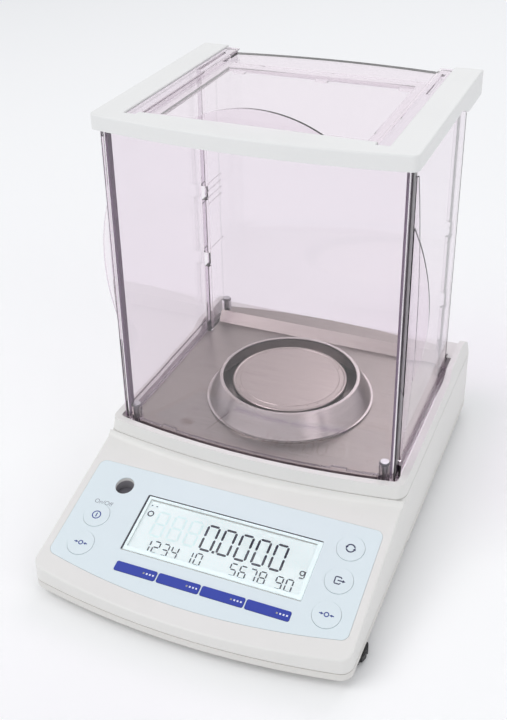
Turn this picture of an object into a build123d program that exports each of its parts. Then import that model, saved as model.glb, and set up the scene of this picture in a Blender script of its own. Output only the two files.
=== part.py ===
from build123d import *
import os
from math import atan, cos, degrees, radians, sin, tan

# Laboratory balance with a glazed draft shield, in millimetres.
# +X is the user's right, the user sits on the -Y side, +Z is up and the table is at zero.
# The origin lies on the table under the middle of the outline.

# Base outline and heights
base_width = 217.0
base_depth = 324.0
front_bulge = 11.0
rear_bulge = 4.0
base_corner_radius = 9.0
leg_height = 8.0
tray_height = 5.7
tray_floor = 2.5
tray_wall = 4.0
tongue_height = 3.0
tongue_thickness = 1.2
split_line_size = 0.8
wall = 2.5
rim_top = 67.6
groove_drop = 9.6
groove_size = 0.8
rim_side_margin = 1.5
rim_front_inset = 113.0
rim_bulge = 9.7
rim_lead = 2.5
rim_wall = 3.0
rim_side_wall = 5.1
shoulder_radius = 5.0
fold_radius = 1.5
rear_ear_rise = 6.0
rear_ear_inset = 75.0
rear_ear_length = 15.0
rear_slope_inset = 30.0
rear_slope_height = 36.0
deck_drop = 5.6
deck_thickness = 2.5

# Sloping control panel, measured from a point on its surface
panel_angle = 15.6
panel_point_inset = 60.0
panel_z = 38.8
overlay_side_margin = 6.1
overlay_rise = 37.0
overlay_fall = 37.5
overlay_bulge = 11.2
overlay_corner = 5.0
overlay_thickness = 0.6
overlay_recess = 0.5
overlay_gap = 0.2

# Display
lcd_left_margin = 45.4
lcd_fall = 1.4
lcd_right_margin = 34.4
lcd_height = 44.0
lcd_pane_thickness = 1.2
lcd_ledge = 3.0
lcd_module_margin = 1.5
lcd_module_thickness = 5.0
pane_gap = 0.1

# Keys
round_key_radius = 9.0
left_key_inset = 24.1
right_key_inset = 22.9
on_off_key_fall = 4.4
menu_key_rise = 20.0
output_key_fall = 3.0
zero_key_fall = 26.0
soft_key_count = 4
soft_key_fall = 33.8
soft_key_row_margin = 2.7
soft_key_gap = 1.2
soft_key_height = 6.7
soft_key_corner = 1.2
key_proud = 0.3
key_thickness = 1.6
key_travel = 0.5
key_gap = 0.2
key_pad_thickness = 2.5
key_pad_margin = 1.8
plunger_radius = 3.0
plunger_gap = 0.1
switch_gap = 0.1
switch_size = 6.0
switch_button_radius = 1.7
switch_button_height = 0.4

# Spirit level
level_side_inset = 31.9
level_rise = 21.6
level_radius = 6.5
level_wall = 2.4
level_floor = 30.0
level_vial_height = 6.0
level_gap = 0.1

# Boards
board_thickness = 1.6
display_board_side_gap = 13.5
display_board_rise = 40.0
display_board_fall = 39.0
display_board_gap = 1.0
display_boss_rise = 36.0
display_boss_fall = 37.0
upper_boss_margins = (3.0, -8.0)
lower_boss_margins = (9.0, 6.5)
board_boss_radius = 3.0
board_screw_radius = 1.25
main_board_side_gap = 33.5
main_board_inset = 40.5
main_board_depth = 32.0
main_board_height = 13.5
main_board_post_inset = 4.0
# Inset from an edge, offset from the middle line, width, depth and height
board_packages = [
    (55.0, -4.0, 14.0, 14.0, 1.4),
    (31.0, -2.0, 10.0, 12.0, 1.4),
    (-41.0, -8.0, 12.0, 7.0, 2.4),
]
# Inset from an edge, offset from the middle line, radius and height
board_cans = [(17.0, 4.0, 4.0, 9.0), (-33.0, 4.0, 3.2, 7.0)]

# Sockets in the rear wall
socket_gap = 0.3
socket_depth = 13.0
socket_setback = 0.8
jack_inset = 17.0
jack_width = 10.0
jack_height = 11.0
jack_bore_radius = 3.2
jack_bore_depth = 9.5
jack_pin_radius = 1.0
serial_x = 4.0
serial_width = 31.0
serial_height = 12.4
serial_shell_width = 17.0
serial_shell_height = 8.4
serial_shell_reach = 1.6

# Weighing cell, carried by a cast plate
casting_side_gap = 24.5
casting_ahead = 81.0
casting_behind = 81.0
casting_height = 3.5
casting_thickness = 5.0
casting_corner = 10.0
casting_pocket_depth = 2.0
casting_post_inset = 9.0
casting_post_radius = 6.0
casting_screw_radius = 2.0
cell_width = 34.0
cell_lift = 2.0
cell_height = 30.0
cell_ahead = 8.0
cell_length = 83.0
cell_foot_length = 28.0
cell_beam = 4.0
cell_neck = 1.2
cell_neck_radius = 3.0
cell_lug_thickness = 3.2
cell_lug_gap = 1.2
cell_lug_length = 21.0
fork_thickness = 1.5
fork_width = 12.0
fork_slot_width = 1.2
fork_slot_margin = 2.4
shaft_radius = 4.0
shaft_flange_radius = 9.0
shaft_flange_thickness = 3.0
shaft_seat = 4.4

# Built-in adjustment weight with its lifter
adjust_ahead = 35.0
adjust_radius = 9.0
adjust_length = 48.0
adjust_height = 27.0
adjust_drop = 4.0
adjust_groove_radius = 7.4
arm_spacing = 18.0
arm_width = 5.0
arm_depth = 8.0
arm_plate = 3.0
seat_gap = 0.1
cradle_spacing = 38.0
cradle_thickness = 3.0
lifter_bar_height = 3.5
lifter_bar_depth = 9.0
lifter_clearance = 1.5
lift_screw_x = -38.0
lift_screw_radius = 2.5
lift_nut_radius = 5.5
lift_nut_height = 12.0
screw_gap = 0.08
bracket_column = 6.0
bracket_width = 20.0
bracket_plate = 3.0
motor_radius = 8.0
motor_gap = 0.5
motor_bracket_drop = 14.5

# Feet
foot_side_inset = 13.0
foot_front_inset = 39.0
foot_knob_radius = 15.0
foot_knob_thickness = 4.2
foot_pad_radius = 10.0
foot_pad_thickness = 2.2
foot_flutes = 12
foot_flute_radius = 1.6
foot_stem_radius = 4.0
foot_bush_radius = 6.0
foot_bush_height = 11.0
foot_boss_wall = 2.2
foot_gap = 0.06
rear_foot_side_inset = 20.5
rear_foot_inset = 30.0
rear_foot_radius = 10.0

# Fasteners and openings of the tray
tray_screw_radius = 2.0
tray_screw_head = 4.0
tray_screw_head_height = 1.8
tray_boss_radius = 4.4
tray_screw_spread = 50.0
tray_screw_front_inset = 16.5
tray_screw_side_inset = 10.5
tray_screw_insets = (114.0, 222.0, 305.0)
tray_screw_bite = 7.0
hook_cover_radius = 11.0
hook_cover_lip = 1.5
vent_count = 7
vent_length = 26.0
vent_width = 2.5
vent_pitch = 7.0
vent_x = 40.0
vent_inset = 72.0
notch_inset = 133.0
notch_length = 11.0
notch_depth = 2.4

# Pan, support and draft ring
pan_inset = 125.0
pan_radius = 42.2
pan_top = 80.2
pan_thickness = 1.3
pan_skirt = 3.4
pan_bead = 2.7
pan_groove_width = 3.0
pan_groove_depth = 0.7
pan_disc_rise = 0.3
dimple_radius = 0.8
dimple_depth = 0.3
dimple_spread = 6.0
support_radius = 28.0
support_thickness = 1.5
support_hub_radius = 7.0
support_window_radius = 5.0
support_window_circle = 18.0
ring_foot_radius = 61.3
ring_foot_thickness = 1.4
ring_foot_width = 1.6
ring_top_radius = 50.0
ring_height = 17.4
ring_wall = 1.3
ring_lip = 1.0
deck_hole_radius = 14.0
floor_hole_radius = 24.0

# Chamber floor
floor_rise = 3.6
floor_sheet = 1.0
floor_fold_inset = 48.0
floor_fold_length = 6.0
floor_fold_rise = 8.0
floor_gap = 0.3

# Draft shield
shield_side_inset = 9.0
shield_top = 285.0
shield_front_inset = 117.9
panel_bulge = 9.2
pane = 2.5
panel_return = 8.9
panel_corner_radius = 3.2
bottom_rail_height = 6.0
bottom_rail_thickness = 2.0
clip_width = 11.0
clip_places = (-62.0, 62.0)
clip_rise = 1.6
corner_boss_radius = 3.8
corner_boss_height = 14.0
corner_screw_radius = 1.5
seal_thickness = 1.8
seal_depth = 5.0
shell_side_inset = 4.3
shell_rear_inset = 32.5
shell_rear_bulge = 9.0
shell_front_inset = 65.0
shell_edge_thickness = 1.6
shell_edge_depth = 3.5
shell_notch_depth = 6.0
shell_notches = [(125.0, 137.0), (182.0, 193.5)]
shell_ribs = [137.5, 176.0, 181.5, 187.0, 192.5]
shell_rib_size = 0.8
shell_boss_height = 20.0
track_floor = 1.1
track_wall = 0.8
track_wall_height = 4.5
track_gap = 0.2

# Sliding doors of the shield
door_gap = 0.5
door_rear_inset = 61.0
door_lift = 0.3
door_head_gap = 0.3
door_band_height = 9.0
door_band_inner = 0.4
door_band_outer = 1.6
fin_thickness = 2.0
fin_bottom = 126.0
fin_height = 117.0
fin_reach = 12.0
lip_bottom = 76.0
lip_height = 200.0
lip_reach = 5.4
lip_start = 1.0

# Top of the shield
frame_thickness = 3.0
frame_side_gap = 0.4
opening_side_margin = 29.6
opening_front_margin = 30.1
opening_rear_inset = 70.0
rail_inner_margin = 20.6
rail_outer_margin = 12.6
rail_height = 4.5
rail_lip = 1.6
rail_lip_thickness = 0.9
rail_front_margin = 15.1
rail_rear_inset = 34.0
rail_slot_length = 46.0
rail_slot_width = 2.6
rail_slot_depth = 2.0
rail_slot_inset = 46.0
tab_width = 9.0
tab_depth = 4.5
tab_thickness = 1.5
tab_places = (-60.0, 1.0, 60.0)
top_door_thickness = 2.4
top_door_gap = 0.3
top_door_front_margin = 22.1
top_door_rear_inset = 63.0
top_fin_half = 44.0
top_fin_reach = 12.0
cap_side_inset = 5.0
cap_front_lead = 3.9
cap_rear_inset = 32.0
cap_top = 294.0
cap_height = 10.0
cap_skirt = 3.6
cap_bar_width = 23.0
cap_corner_radius = 5.0
cap_edge_radius = 1.2
cap_drop = 7.0
cap_drop_inset = 94.0
cap_drop_length = 26.0
notch_gap = 0.3

# Heights and places that follow from the sizes above
base_half = base_width / 2
front_y = -base_depth / 2
rear_y = base_depth / 2
split_z = leg_height + tray_height
inside_floor = leg_height + tray_floor
deck_top = rim_top - deck_drop
deck_under = deck_top - deck_thickness
groove_z = rim_top - groove_drop
groove_low = groove_z - groove_size / 2
rim_half = base_half - rim_side_margin
rim_inner = rim_half - rim_side_wall
rim_front = front_y + rim_front_inset
rear_ear_start = rear_y - rear_ear_inset
rear_slope_start = rear_y - rear_slope_inset
lift_angle = radians(panel_angle)
floor_top = deck_top + floor_rise
floor_fold_y = rear_y - floor_fold_inset
pan_y = rear_y - pan_inset

# The control panel and what it carries
panel_y = front_y + panel_point_inset
panel_under = -wall
overlay_width = base_width - 2 * overlay_side_margin
overlay_top = panel_y + overlay_rise
overlay_bottom = panel_y - overlay_fall
lcd_width = overlay_width - lcd_left_margin - lcd_right_margin
lcd_x = (lcd_left_margin - lcd_right_margin) / 2
lcd_y = panel_y - lcd_fall
soft_key_row = lcd_width - 2 * soft_key_row_margin
soft_key_x = lcd_x
soft_key_y = panel_y - soft_key_fall
left_key_x = left_key_inset - base_half
right_key_x = base_half - right_key_inset
round_keys = {
    "on_off_key": (left_key_x, panel_y - on_off_key_fall),
    "left_zero_key": (left_key_x, panel_y - zero_key_fall),
    "menu_key": (right_key_x, panel_y + menu_key_rise),
    "output_key": (right_key_x, panel_y - output_key_fall),
    "right_zero_key": (right_key_x, panel_y - zero_key_fall),
}
level_x = level_side_inset - base_half
level_y = panel_y + level_rise
board_top = panel_under - lcd_module_thickness
display_board_width = base_width - 2 * display_board_side_gap
display_board_rear = panel_y + display_board_rise
display_board_front = panel_y - display_board_fall
display_bosses = []
for margins, boss_y in (
    (upper_boss_margins, panel_y + display_boss_rise),
    (lower_boss_margins, panel_y - display_boss_fall),
):
    display_bosses.append((lcd_x - lcd_width / 2 - margins[0], boss_y))
    display_bosses.append((lcd_x + lcd_width / 2 + margins[1], boss_y))
key_floor = -overlay_recess - key_thickness - key_travel + overlay_thickness

# Inside the base
main_board_width = base_width - 2 * main_board_side_gap
main_board_front = rear_y - main_board_inset
jack_x = main_board_width / 2 - jack_inset
casting_width = base_width - 2 * casting_side_gap
casting_front = pan_y - casting_ahead
casting_rear = pan_y + casting_behind
casting_bottom = inside_floor + casting_height
casting_top = casting_bottom + casting_thickness
cell_bottom = casting_top + cell_lift
cell_top = cell_bottom + cell_height
cell_front = pan_y - cell_ahead
cell_rear = cell_front + cell_length
adjust_y = pan_y - adjust_ahead

# Under the base
foot_x = base_half - foot_side_inset
foot_y = front_y + foot_front_inset
rear_foot_x = base_half - rear_foot_side_inset
rear_foot_y = rear_y - rear_foot_inset
vent_y = rear_y - vent_inset
notch_y = front_y + notch_inset
tray_screw_x = base_half - tray_screw_side_inset
tray_screw_places = [
    (-tray_screw_spread, front_y + tray_screw_front_inset),
    (tray_screw_spread, front_y + tray_screw_front_inset),
]
for inset in tray_screw_insets:
    tray_screw_places += [(-tray_screw_x, front_y + inset), (tray_screw_x, front_y + inset)]

# The draft shield
shield_half = base_half - shield_side_inset
panel_front = front_y + shield_front_inset
shell_half = shield_half - shell_side_inset
shell_rear_corner = rear_y - shell_rear_inset
shell_front = rear_y - shell_front_inset
door_rear = rear_y - door_rear_inset
door_inner = shield_half - pane
track_inner = shell_half
door_front = panel_front + panel_bulge + panel_return + door_gap
frame_half = door_inner - frame_side_gap
frame_top = shield_top + frame_thickness
opening_half = frame_half - opening_side_margin
opening_front = panel_front + opening_front_margin
opening_rear = rear_y - opening_rear_inset
rail_inner = frame_half - rail_inner_margin
rail_outer = frame_half - rail_outer_margin
rail_front = panel_front + rail_front_margin
rail_rear = rear_y - rail_rear_inset
rail_slot_rear = rear_y - rail_slot_inset
top_door_front = panel_front + top_door_front_margin
top_door_rear = rear_y - top_door_rear_inset
cap_half = base_half - cap_side_inset
cap_front = panel_front - cap_front_lead
cap_rear = rear_y - cap_rear_inset
cap_bar_rear = cap_front + cap_bar_width
cap_drop_start = rear_y - cap_drop_inset
panel_surface = Plane(
    origin=(0, panel_y, panel_z),
    x_dir=(1, 0, 0),
    z_dir=(0, -sin(lift_angle), cos(lift_angle)),
)


def bowed_plan(half, front, rear, front_bow, rear_bow, radius):
    # A rectangle seen from above whose front and rear edges bow outward.
    front_left = (-half, front + front_bow)
    front_right = (half, front + front_bow)
    rear_left = (-half, rear - rear_bow)
    rear_right = (half, rear - rear_bow)
    outline = Curve() + [
        ThreePointArc(front_left, (0, front), front_right),
        Line(front_right, rear_right),
        ThreePointArc(rear_right, (0, rear), rear_left),
        Line(rear_left, front_left),
    ]
    face = make_face(outline)
    return fillet(face.vertices(), radius)


def flat_rear_plan(half, front, rear, front_bow, radius):
    # The same outline with a straight rear edge and square rear corners.
    front_left = (-half, front + front_bow)
    front_right = (half, front + front_bow)
    outline = Curve() + [
        ThreePointArc(front_left, (0, front), front_right),
        Line(front_right, (half, rear)),
        Line((half, rear), (-half, rear)),
        Line((-half, rear), front_left),
    ]
    face = make_face(outline)
    return fillet(face.vertices().group_by(Axis.Y)[0], radius)


def prism(face, bottom, top):
    return extrude(Pos(0, 0, bottom) * face, top - bottom)


def block(left, right, front, rear, bottom, top):
    middle = Pos((left + right) / 2, (front + rear) / 2, (bottom + top) / 2)
    return middle * Box(right - left, rear - front, top - bottom)


def post(x, y, radius, bottom, top):
    return Pos(x, y, (bottom + top) / 2) * Cylinder(radius, top - bottom)


def from_side(points, half_width):
    # A profile drawn in Y and Z, made as wide as asked across X.
    face = Plane.YZ * make_face(Polyline(*points, close=True))
    return extrude(face, half_width, both=True)


def on_panel(x, y, depth=0.0):
    # A place on the sloping panel, under or over the plan point x, y.
    along = (y - panel_y) / cos(lift_angle)
    return panel_surface.location * Pos(x, along, depth)


def panel_solid(x, y, outline, low, high):
    # An outline stood up on the panel between two depths below its surface.
    return on_panel(x, y, low) * extrude(outline, high - low)


def panel_height(y):
    return panel_z + (y - panel_y) * tan(lift_angle)


def base_plan(inset):
    return bowed_plan(
        base_half - inset,
        front_y + inset,
        rear_y - inset,
        front_bulge,
        rear_bulge,
        base_corner_radius - inset / 2,
    )


def chamber_plan(inset):
    return bowed_plan(
        base_half - inset,
        rim_front - rim_lead + inset,
        rear_y - inset,
        rim_bulge,
        rear_bulge,
        base_corner_radius - inset / 2,
    )


def rear_profile(inset):
    # Side view of the chamber block: the rims rise to two ears, and the rear face slopes away.
    top = rim_top - inset
    ear = top + rear_ear_rise
    start = rim_front - rim_lead - wall
    slope_start = rear_slope_start - inset / 2
    rise = Spline(
        (rear_ear_start, top),
        (rear_ear_start + rear_ear_length, ear),
        tangents=[(1, 0), (1, 0)],
    )
    fall = Spline(
        (slope_start, ear),
        (rear_y + 1 - inset, rear_slope_height - inset / 2),
        tangents=[(1, 0), (0.15, -1)],
    )
    bottom = split_z - wall
    outline = Curve() + [
        Line((start, bottom), (start, top)),
        Line((start, top), (rear_ear_start, top)),
        rise,
        Line((rear_ear_start + rear_ear_length, ear), (slope_start, ear)),
        fall,
        Line((rear_y + 1 - inset, rear_slope_height - inset / 2), (rear_y + 1 - inset, bottom)),
        Line((rear_y + 1 - inset, bottom), (start, bottom)),
    ]
    return extrude(Plane.YZ * make_face(outline), base_width, both=True)


def panel_reach(inset):
    # Where the panel, lowered by the inset, comes up to the foot of the groove.
    return panel_y + (groove_low - panel_z + inset / cos(lift_angle)) / tan(lift_angle)


def panel_wedge(inset):
    # The front part under the control panel; it runs on level beside the chamber's corners.
    near = front_y - wall
    far = panel_reach(inset)
    points = [
        (near, split_z),
        (near, panel_height(near) - inset / cos(lift_angle)),
        (far, groove_low),
        (far + 2 * base_corner_radius, groove_low),
        (far + 2 * base_corner_radius, split_z),
    ]
    return from_side(points, base_width) & prism(base_plan(inset), split_z, cap_top)


def on_panel_plane(edge):
    return abs(panel_surface.to_local_coords(edge.center()).Z) < 0.01


def shoulder_fill():
    # The hollow curve between the panel and the upright front of the chamber.
    front = rim_front - rim_lead
    bow = (base_half**2 + rim_bulge**2) / (2 * rim_bulge)
    drum = Pos(0, front + bow) * Circle(bow)
    wide = base_width
    strip = Pos(0, front + rim_bulge) * Rectangle(wide + 4 * wall, 6 * rim_bulge)
    upright = prism(drum & strip, split_z, rim_top)
    far = panel_reach(0)
    near = panel_y
    points = [
        (near, split_z),
        (near, panel_height(near)),
        (far, groove_low),
        (far, split_z),
    ]
    slope = from_side(points, wide / 2 + 2 * wall)
    plain = slope + upright
    meeting = [
        edge
        for edge in plain.edges()
        if on_panel_plane(edge) and edge.length > base_half and edge.center().Y < far - wall
        and edge.center().Y > near + wall
    ]
    rounded = fillet(meeting, shoulder_radius)
    return (rounded - plain) & prism(base_plan(0), split_z, groove_low)


def chamber_block():
    # Upright up to the groove, then drawn in to the width of the rim.
    lower = prism(chamber_plan(0), split_z, groove_z)
    rim_rise = rim_top + rear_ear_rise - groove_z
    draft = degrees(atan((base_half - rim_half) / (rim_top - groove_z)))
    upper = extrude(Pos(0, 0, groove_z) * chamber_plan(0), rim_rise, taper=draft)
    return (lower + upper) & rear_profile(0)


def round_key_well():
    return Circle(round_key_radius + key_gap)


def soft_key_length():
    return (soft_key_row - (soft_key_count - 1) * soft_key_gap) / soft_key_count


def soft_key_places():
    pitch = soft_key_length() + soft_key_gap
    first = soft_key_x - (soft_key_count - 1) * pitch / 2
    return [(first + i * pitch, soft_key_y) for i in range(soft_key_count)]


def soft_key_face(grow):
    return RectangleRounded(
        soft_key_length() + 2 * grow, soft_key_height + 2 * grow, soft_key_corner + grow
    )


def overlay_face(grow):
    # Straight top edge, rounded corners, and a bottom edge that bows toward the user.
    half = overlay_width / 2 + grow
    top = (overlay_top - panel_y) / cos(lift_angle) + grow
    bottom = (overlay_bottom - panel_y) / cos(lift_angle) - grow
    outline = Curve() + [
        ThreePointArc((-half, bottom), (0, bottom - overlay_bulge), (half, bottom)),
        Line((half, bottom), (half, top)),
        Line((half, top), (-half, top)),
        Line((-half, top), (-half, bottom)),
    ]
    face = make_face(outline)
    return fillet(face.vertices(), overlay_corner + grow)


def lcd_face(grow):
    return RectangleRounded(lcd_width + 2 * grow, lcd_height + 2 * grow, 1.0 + grow)


def lcd_opening():
    return Rectangle(lcd_width - 2 * lcd_ledge, lcd_height - 2 * lcd_ledge)


def make_housing():
    wedge = panel_wedge(0)
    fold = [
        edge
        for edge in wedge.edges()
        if on_panel_plane(edge) and edge.center().Y < panel_reach(0) - 1
    ]
    outer = fillet(fold, fold_radius) + chamber_block() + shoulder_fill()

    # Hollow inside, open at the bottom
    ceiling = from_side(
        [
            (front_y, split_z - wall),
            (front_y, deck_under),
            (rear_y, deck_under),
            (rear_y, split_z - wall),
        ],
        base_width,
    )
    chamber_inside = prism(chamber_plan(wall), split_z - wall, deck_under) & rear_profile(wall)
    hollow = (panel_wedge(wall) + chamber_inside) & ceiling
    hollow += prism(base_plan(wall), split_z - wall, split_z)
    body = outer - hollow

    # Recess above the deck, inside the rim
    recess = flat_rear_plan(
        rim_inner, rim_front + rim_wall, rear_y + wall, rim_bulge, panel_corner_radius
    )
    body -= prism(recess, deck_top, cap_top)
    body -= post(0, pan_y, deck_hole_radius, deck_under - 1, deck_top + 1)

    # Shadow groove around the rim
    ring = chamber_plan(-1) - chamber_plan(groove_size)
    body -= prism(ring, groove_z - groove_size / 2, groove_z + groove_size / 2)

    # Bosses for the screws that come up through the tray
    for x, y in tray_screw_places:
        boss = post(x, y, tray_boss_radius, split_z, deck_top - 1) & outer
        boss -= post(x, y, tray_screw_radius, split_z - 1, split_z + tray_screw_bite)
        body += boss

    # Thicker pads under the keys, and bosses that carry the display board
    pad_low = panel_under - key_pad_thickness
    for x, y in round_keys.values():
        outline = Circle(round_key_radius + key_gap + key_pad_margin)
        body += panel_solid(x, y, outline, pad_low, panel_under + 0.5)
    row = RectangleRounded(
        soft_key_row + 2 * key_pad_margin, soft_key_height + 2 * key_pad_margin, key_pad_margin
    )
    body += panel_solid(soft_key_x, soft_key_y, row, pad_low, panel_under + 0.5)
    for x, y in display_bosses:
        boss = Circle(board_boss_radius) - Circle(board_screw_radius)
        body += panel_solid(x, y, boss, board_top, panel_under)

    # Seats of the overlay, the display window, the keys and the level
    body -= on_panel(0, panel_y, -overlay_recess) * extrude(overlay_face(overlay_gap), wall)
    pane_low = overlay_thickness - overlay_recess - lcd_pane_thickness
    body -= panel_solid(lcd_x, lcd_y, lcd_face(pane_gap), pane_low, wall)
    body -= panel_solid(lcd_x, lcd_y, lcd_opening(), panel_under - 1, wall)
    for x, y in round_keys.values():
        body -= panel_solid(x, y, round_key_well(), key_floor, wall)
        body -= panel_solid(x, y, Circle(plunger_radius + plunger_gap), pad_low - 1, wall)
    for x, y in soft_key_places():
        body -= panel_solid(x, y, soft_key_face(key_gap), key_floor, wall)
        body -= panel_solid(x, y, Circle(plunger_radius + plunger_gap), pad_low - 1, wall)
    body -= post(level_x, level_y, level_radius, level_floor, rim_top)

    # Openings for the sockets in the rear wall
    low = inside_floor + main_board_height + board_thickness
    body -= block(
        jack_x - jack_width / 2 - socket_gap,
        jack_x + jack_width / 2 + socket_gap,
        rear_y - socket_depth,
        rear_y + 1,
        low - socket_gap,
        low + jack_height + socket_gap,
    )
    body -= block(
        serial_x - serial_width / 2 - socket_gap,
        serial_x + serial_width / 2 + socket_gap,
        rear_y - socket_depth,
        rear_y + 1,
        low - socket_gap,
        low + serial_height + socket_gap,
    )

    # Holes for the screws that hold the shield
    for x, y in corner_screws():
        body -= post(x, y, corner_screw_radius, deck_under - 1, deck_top + 1)
    return body


def corner_screws():
    front = panel_front + panel_bulge + pane + corner_boss_radius - 1
    front_x = door_inner - corner_boss_radius - seal_thickness - 0.2
    rear = shell_rear_corner - pane - corner_boss_radius + 0.8
    rear_x = shell_half - pane - corner_boss_radius + 0.8
    return [(-front_x, front), (front_x, front), (-rear_x, rear), (rear_x, rear)]


def make_tray():
    body = prism(base_plan(0), leg_height, split_z)
    body -= prism(base_plan(tray_wall), inside_floor, split_z + 1)
    # A rebate round the top edge makes the dark split line
    rebate = base_plan(-1) - base_plan(split_line_size)
    body -= prism(rebate, split_z - split_line_size, split_z + 1)
    tongue_out = wall + key_gap
    tongue = base_plan(tongue_out) - base_plan(tongue_out + tongue_thickness)
    body += prism(tongue, split_z, split_z + tongue_height)

    # Posts under the cast plate and the main board, and bosses for the levelling feet
    for x, y in casting_post_places():
        body += post(x, y, casting_post_radius, inside_floor, casting_bottom)
        body -= post(x, y, casting_screw_radius, inside_floor, casting_bottom + 1)
    board_bottom = inside_floor + main_board_height
    for x, y in main_board_posts():
        body += post(x, y, board_boss_radius, inside_floor, board_bottom)
        body -= post(x, y, board_screw_radius, inside_floor + 1, board_bottom + 1)
    for side in (-1, 1):
        bush_top = leg_height + foot_bush_height
        boss_radius = foot_bush_radius + foot_boss_wall
        body += post(side * foot_x, foot_y, boss_radius, inside_floor, bush_top)
        body -= post(side * foot_x, foot_y, foot_bush_radius, leg_height - 1, bush_top + 1)

    # Counterbored screw holes, on low spacers that meet the housing's bosses
    for x, y in tray_screw_places:
        body += post(x, y, tray_boss_radius, inside_floor, split_z)
        body -= post(x, y, tray_screw_radius, leg_height - 1, split_z + 1)
        body -= post(x, y, tray_screw_head, leg_height - 1, leg_height + tray_screw_head_height)

    # Opening for weighing from below, cooling slots, and a grip notch in each side
    body -= post(0, pan_y, hook_cover_radius, leg_height - 1, inside_floor + 1)
    for side in (-1, 1):
        for i in range(vent_count):
            y = vent_y + (i - (vent_count - 1) / 2) * vent_pitch
            slot = Pos(side * vent_x, y, 0) * SlotOverall(vent_length, vent_width)
            body -= prism(slot, leg_height - 1, inside_floor + 1)
        grip = Pos(side * base_half, notch_y, leg_height)
        body -= grip * Box(2 * notch_depth, notch_length, 2 * notch_depth)
    return body


def casting_post_places():
    x = casting_width / 2 - casting_post_inset
    front = casting_front + casting_post_inset
    rear = casting_rear - casting_post_inset
    return [(-x, front), (x, front), (-x, rear), (x, rear)]


def main_board_posts():
    x = main_board_width / 2 - main_board_post_inset
    front = main_board_front + main_board_post_inset
    rear = main_board_front + main_board_depth - main_board_post_inset
    return [(-x, front), (x, front), (-x, rear), (x, rear)]


def make_casting():
    length = casting_rear - casting_front
    middle = (casting_front + casting_rear) / 2
    plate = Pos(0, middle) * RectangleRounded(casting_width, length, casting_corner)
    body = prism(plate, casting_bottom, casting_top)
    # Pockets between ribs lighten the plate on both sides of the cell
    pocket_width = (casting_width - cell_width) / 2 - 3 * casting_corner
    pocket_x = (casting_width + cell_width) / 4
    pocket_length = (length - 4 * casting_corner) / 3
    for side in (-1, 1):
        for i in (0, 1, 2):
            y = middle + (i - 1) * (pocket_length + casting_corner / 2)
            pocket = Pos(side * pocket_x, y) * RectangleRounded(pocket_width, pocket_length, 4)
            body -= prism(pocket, casting_bottom - 1, casting_bottom + casting_pocket_depth)
    foot_front = cell_rear - cell_foot_length
    body += block(-cell_width / 2, cell_width / 2, foot_front, cell_rear, casting_top, cell_bottom)
    for x, y in casting_post_places():
        body -= post(x, y, casting_screw_radius, casting_bottom - 1, casting_top + 1)
    return body


def make_cell():
    # One block of metal: two thin-necked beams guide the front end straight up and down.
    body = block(-cell_width / 2, cell_width / 2, cell_front, cell_rear, cell_bottom, cell_top)
    window_front = cell_front + 2 * cell_ahead
    window_rear = cell_rear - cell_foot_length
    low = cell_bottom + cell_beam
    high = cell_top - cell_beam
    body -= block(-cell_width, cell_width, window_front, window_rear, low, high)
    neck_z = cell_neck + cell_neck_radius
    for y in (window_front + cell_neck_radius, window_rear - cell_neck_radius):
        for z in (cell_bottom + neck_z, cell_top - neck_z):
            hole = Plane.YZ * Pos(y, z) * Circle(cell_neck_radius)
            body -= extrude(hole, cell_width, both=True)
    # Two lugs reach into the window and hold the ends of the tuning fork
    half = cell_width / 2 - 2
    lug_bottom = low + cell_lug_gap
    body += block(
        -half, half, window_rear - cell_lug_length, window_rear, lug_bottom,
        lug_bottom + cell_lug_thickness,
    )
    lug_top = high - cell_lug_gap
    body += block(
        -half, half, window_front, window_front + cell_lug_length,
        lug_top - cell_lug_thickness, lug_top,
    )
    return body


def make_tuning_fork():
    # A thin plate with two tines, joined at both ends.
    bottom = cell_bottom + cell_beam + cell_lug_gap + cell_lug_thickness
    top = cell_top - cell_beam - cell_lug_gap - cell_lug_thickness
    window_front = cell_front + 2 * cell_ahead
    window_rear = cell_rear - cell_foot_length
    y = (window_front + window_rear) / 2
    outline = Rectangle(fork_width, top - bottom)
    slot_height = top - bottom - 2 * fork_slot_margin
    outline -= Rectangle(fork_slot_width, slot_height)
    for side in (-1, 1):
        outline -= Pos(side * fork_width / 2) * Rectangle(2 * fork_slot_margin, slot_height)
    face = Plane.XZ * Pos(0, (bottom + top) / 2) * outline
    return Pos(0, y, 0) * extrude(face, fork_thickness / 2, both=True)


def make_load_shaft():
    top = support_underside() - 1.0
    body = post(0, pan_y, shaft_flange_radius, cell_top, cell_top + shaft_flange_thickness)
    body += post(0, pan_y, shaft_radius, cell_top + shaft_flange_thickness, top)
    body = chamfer(body.edges().group_by(Axis.Z)[-1], 0.8)
    return body


def pan_underside():
    return pan_top - pan_thickness - pan_groove_depth


def support_underside():
    return pan_underside() - support_thickness


def make_pan_support():
    disc_low = support_underside()
    body = post(0, pan_y, support_radius, disc_low, pan_underside())
    body += post(0, pan_y, support_hub_radius, disc_low - shaft_seat, disc_low)
    for spot in PolarLocations(support_window_circle, 3):
        hole = Pos(0, pan_y, 0) * spot * Circle(support_window_radius)
        body -= prism(hole, disc_low - 1, pan_underside() + 1)
    body -= post(0, pan_y, shaft_radius + screw_gap, disc_low - shaft_seat - 1, disc_low - 1.0)
    return body


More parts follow.
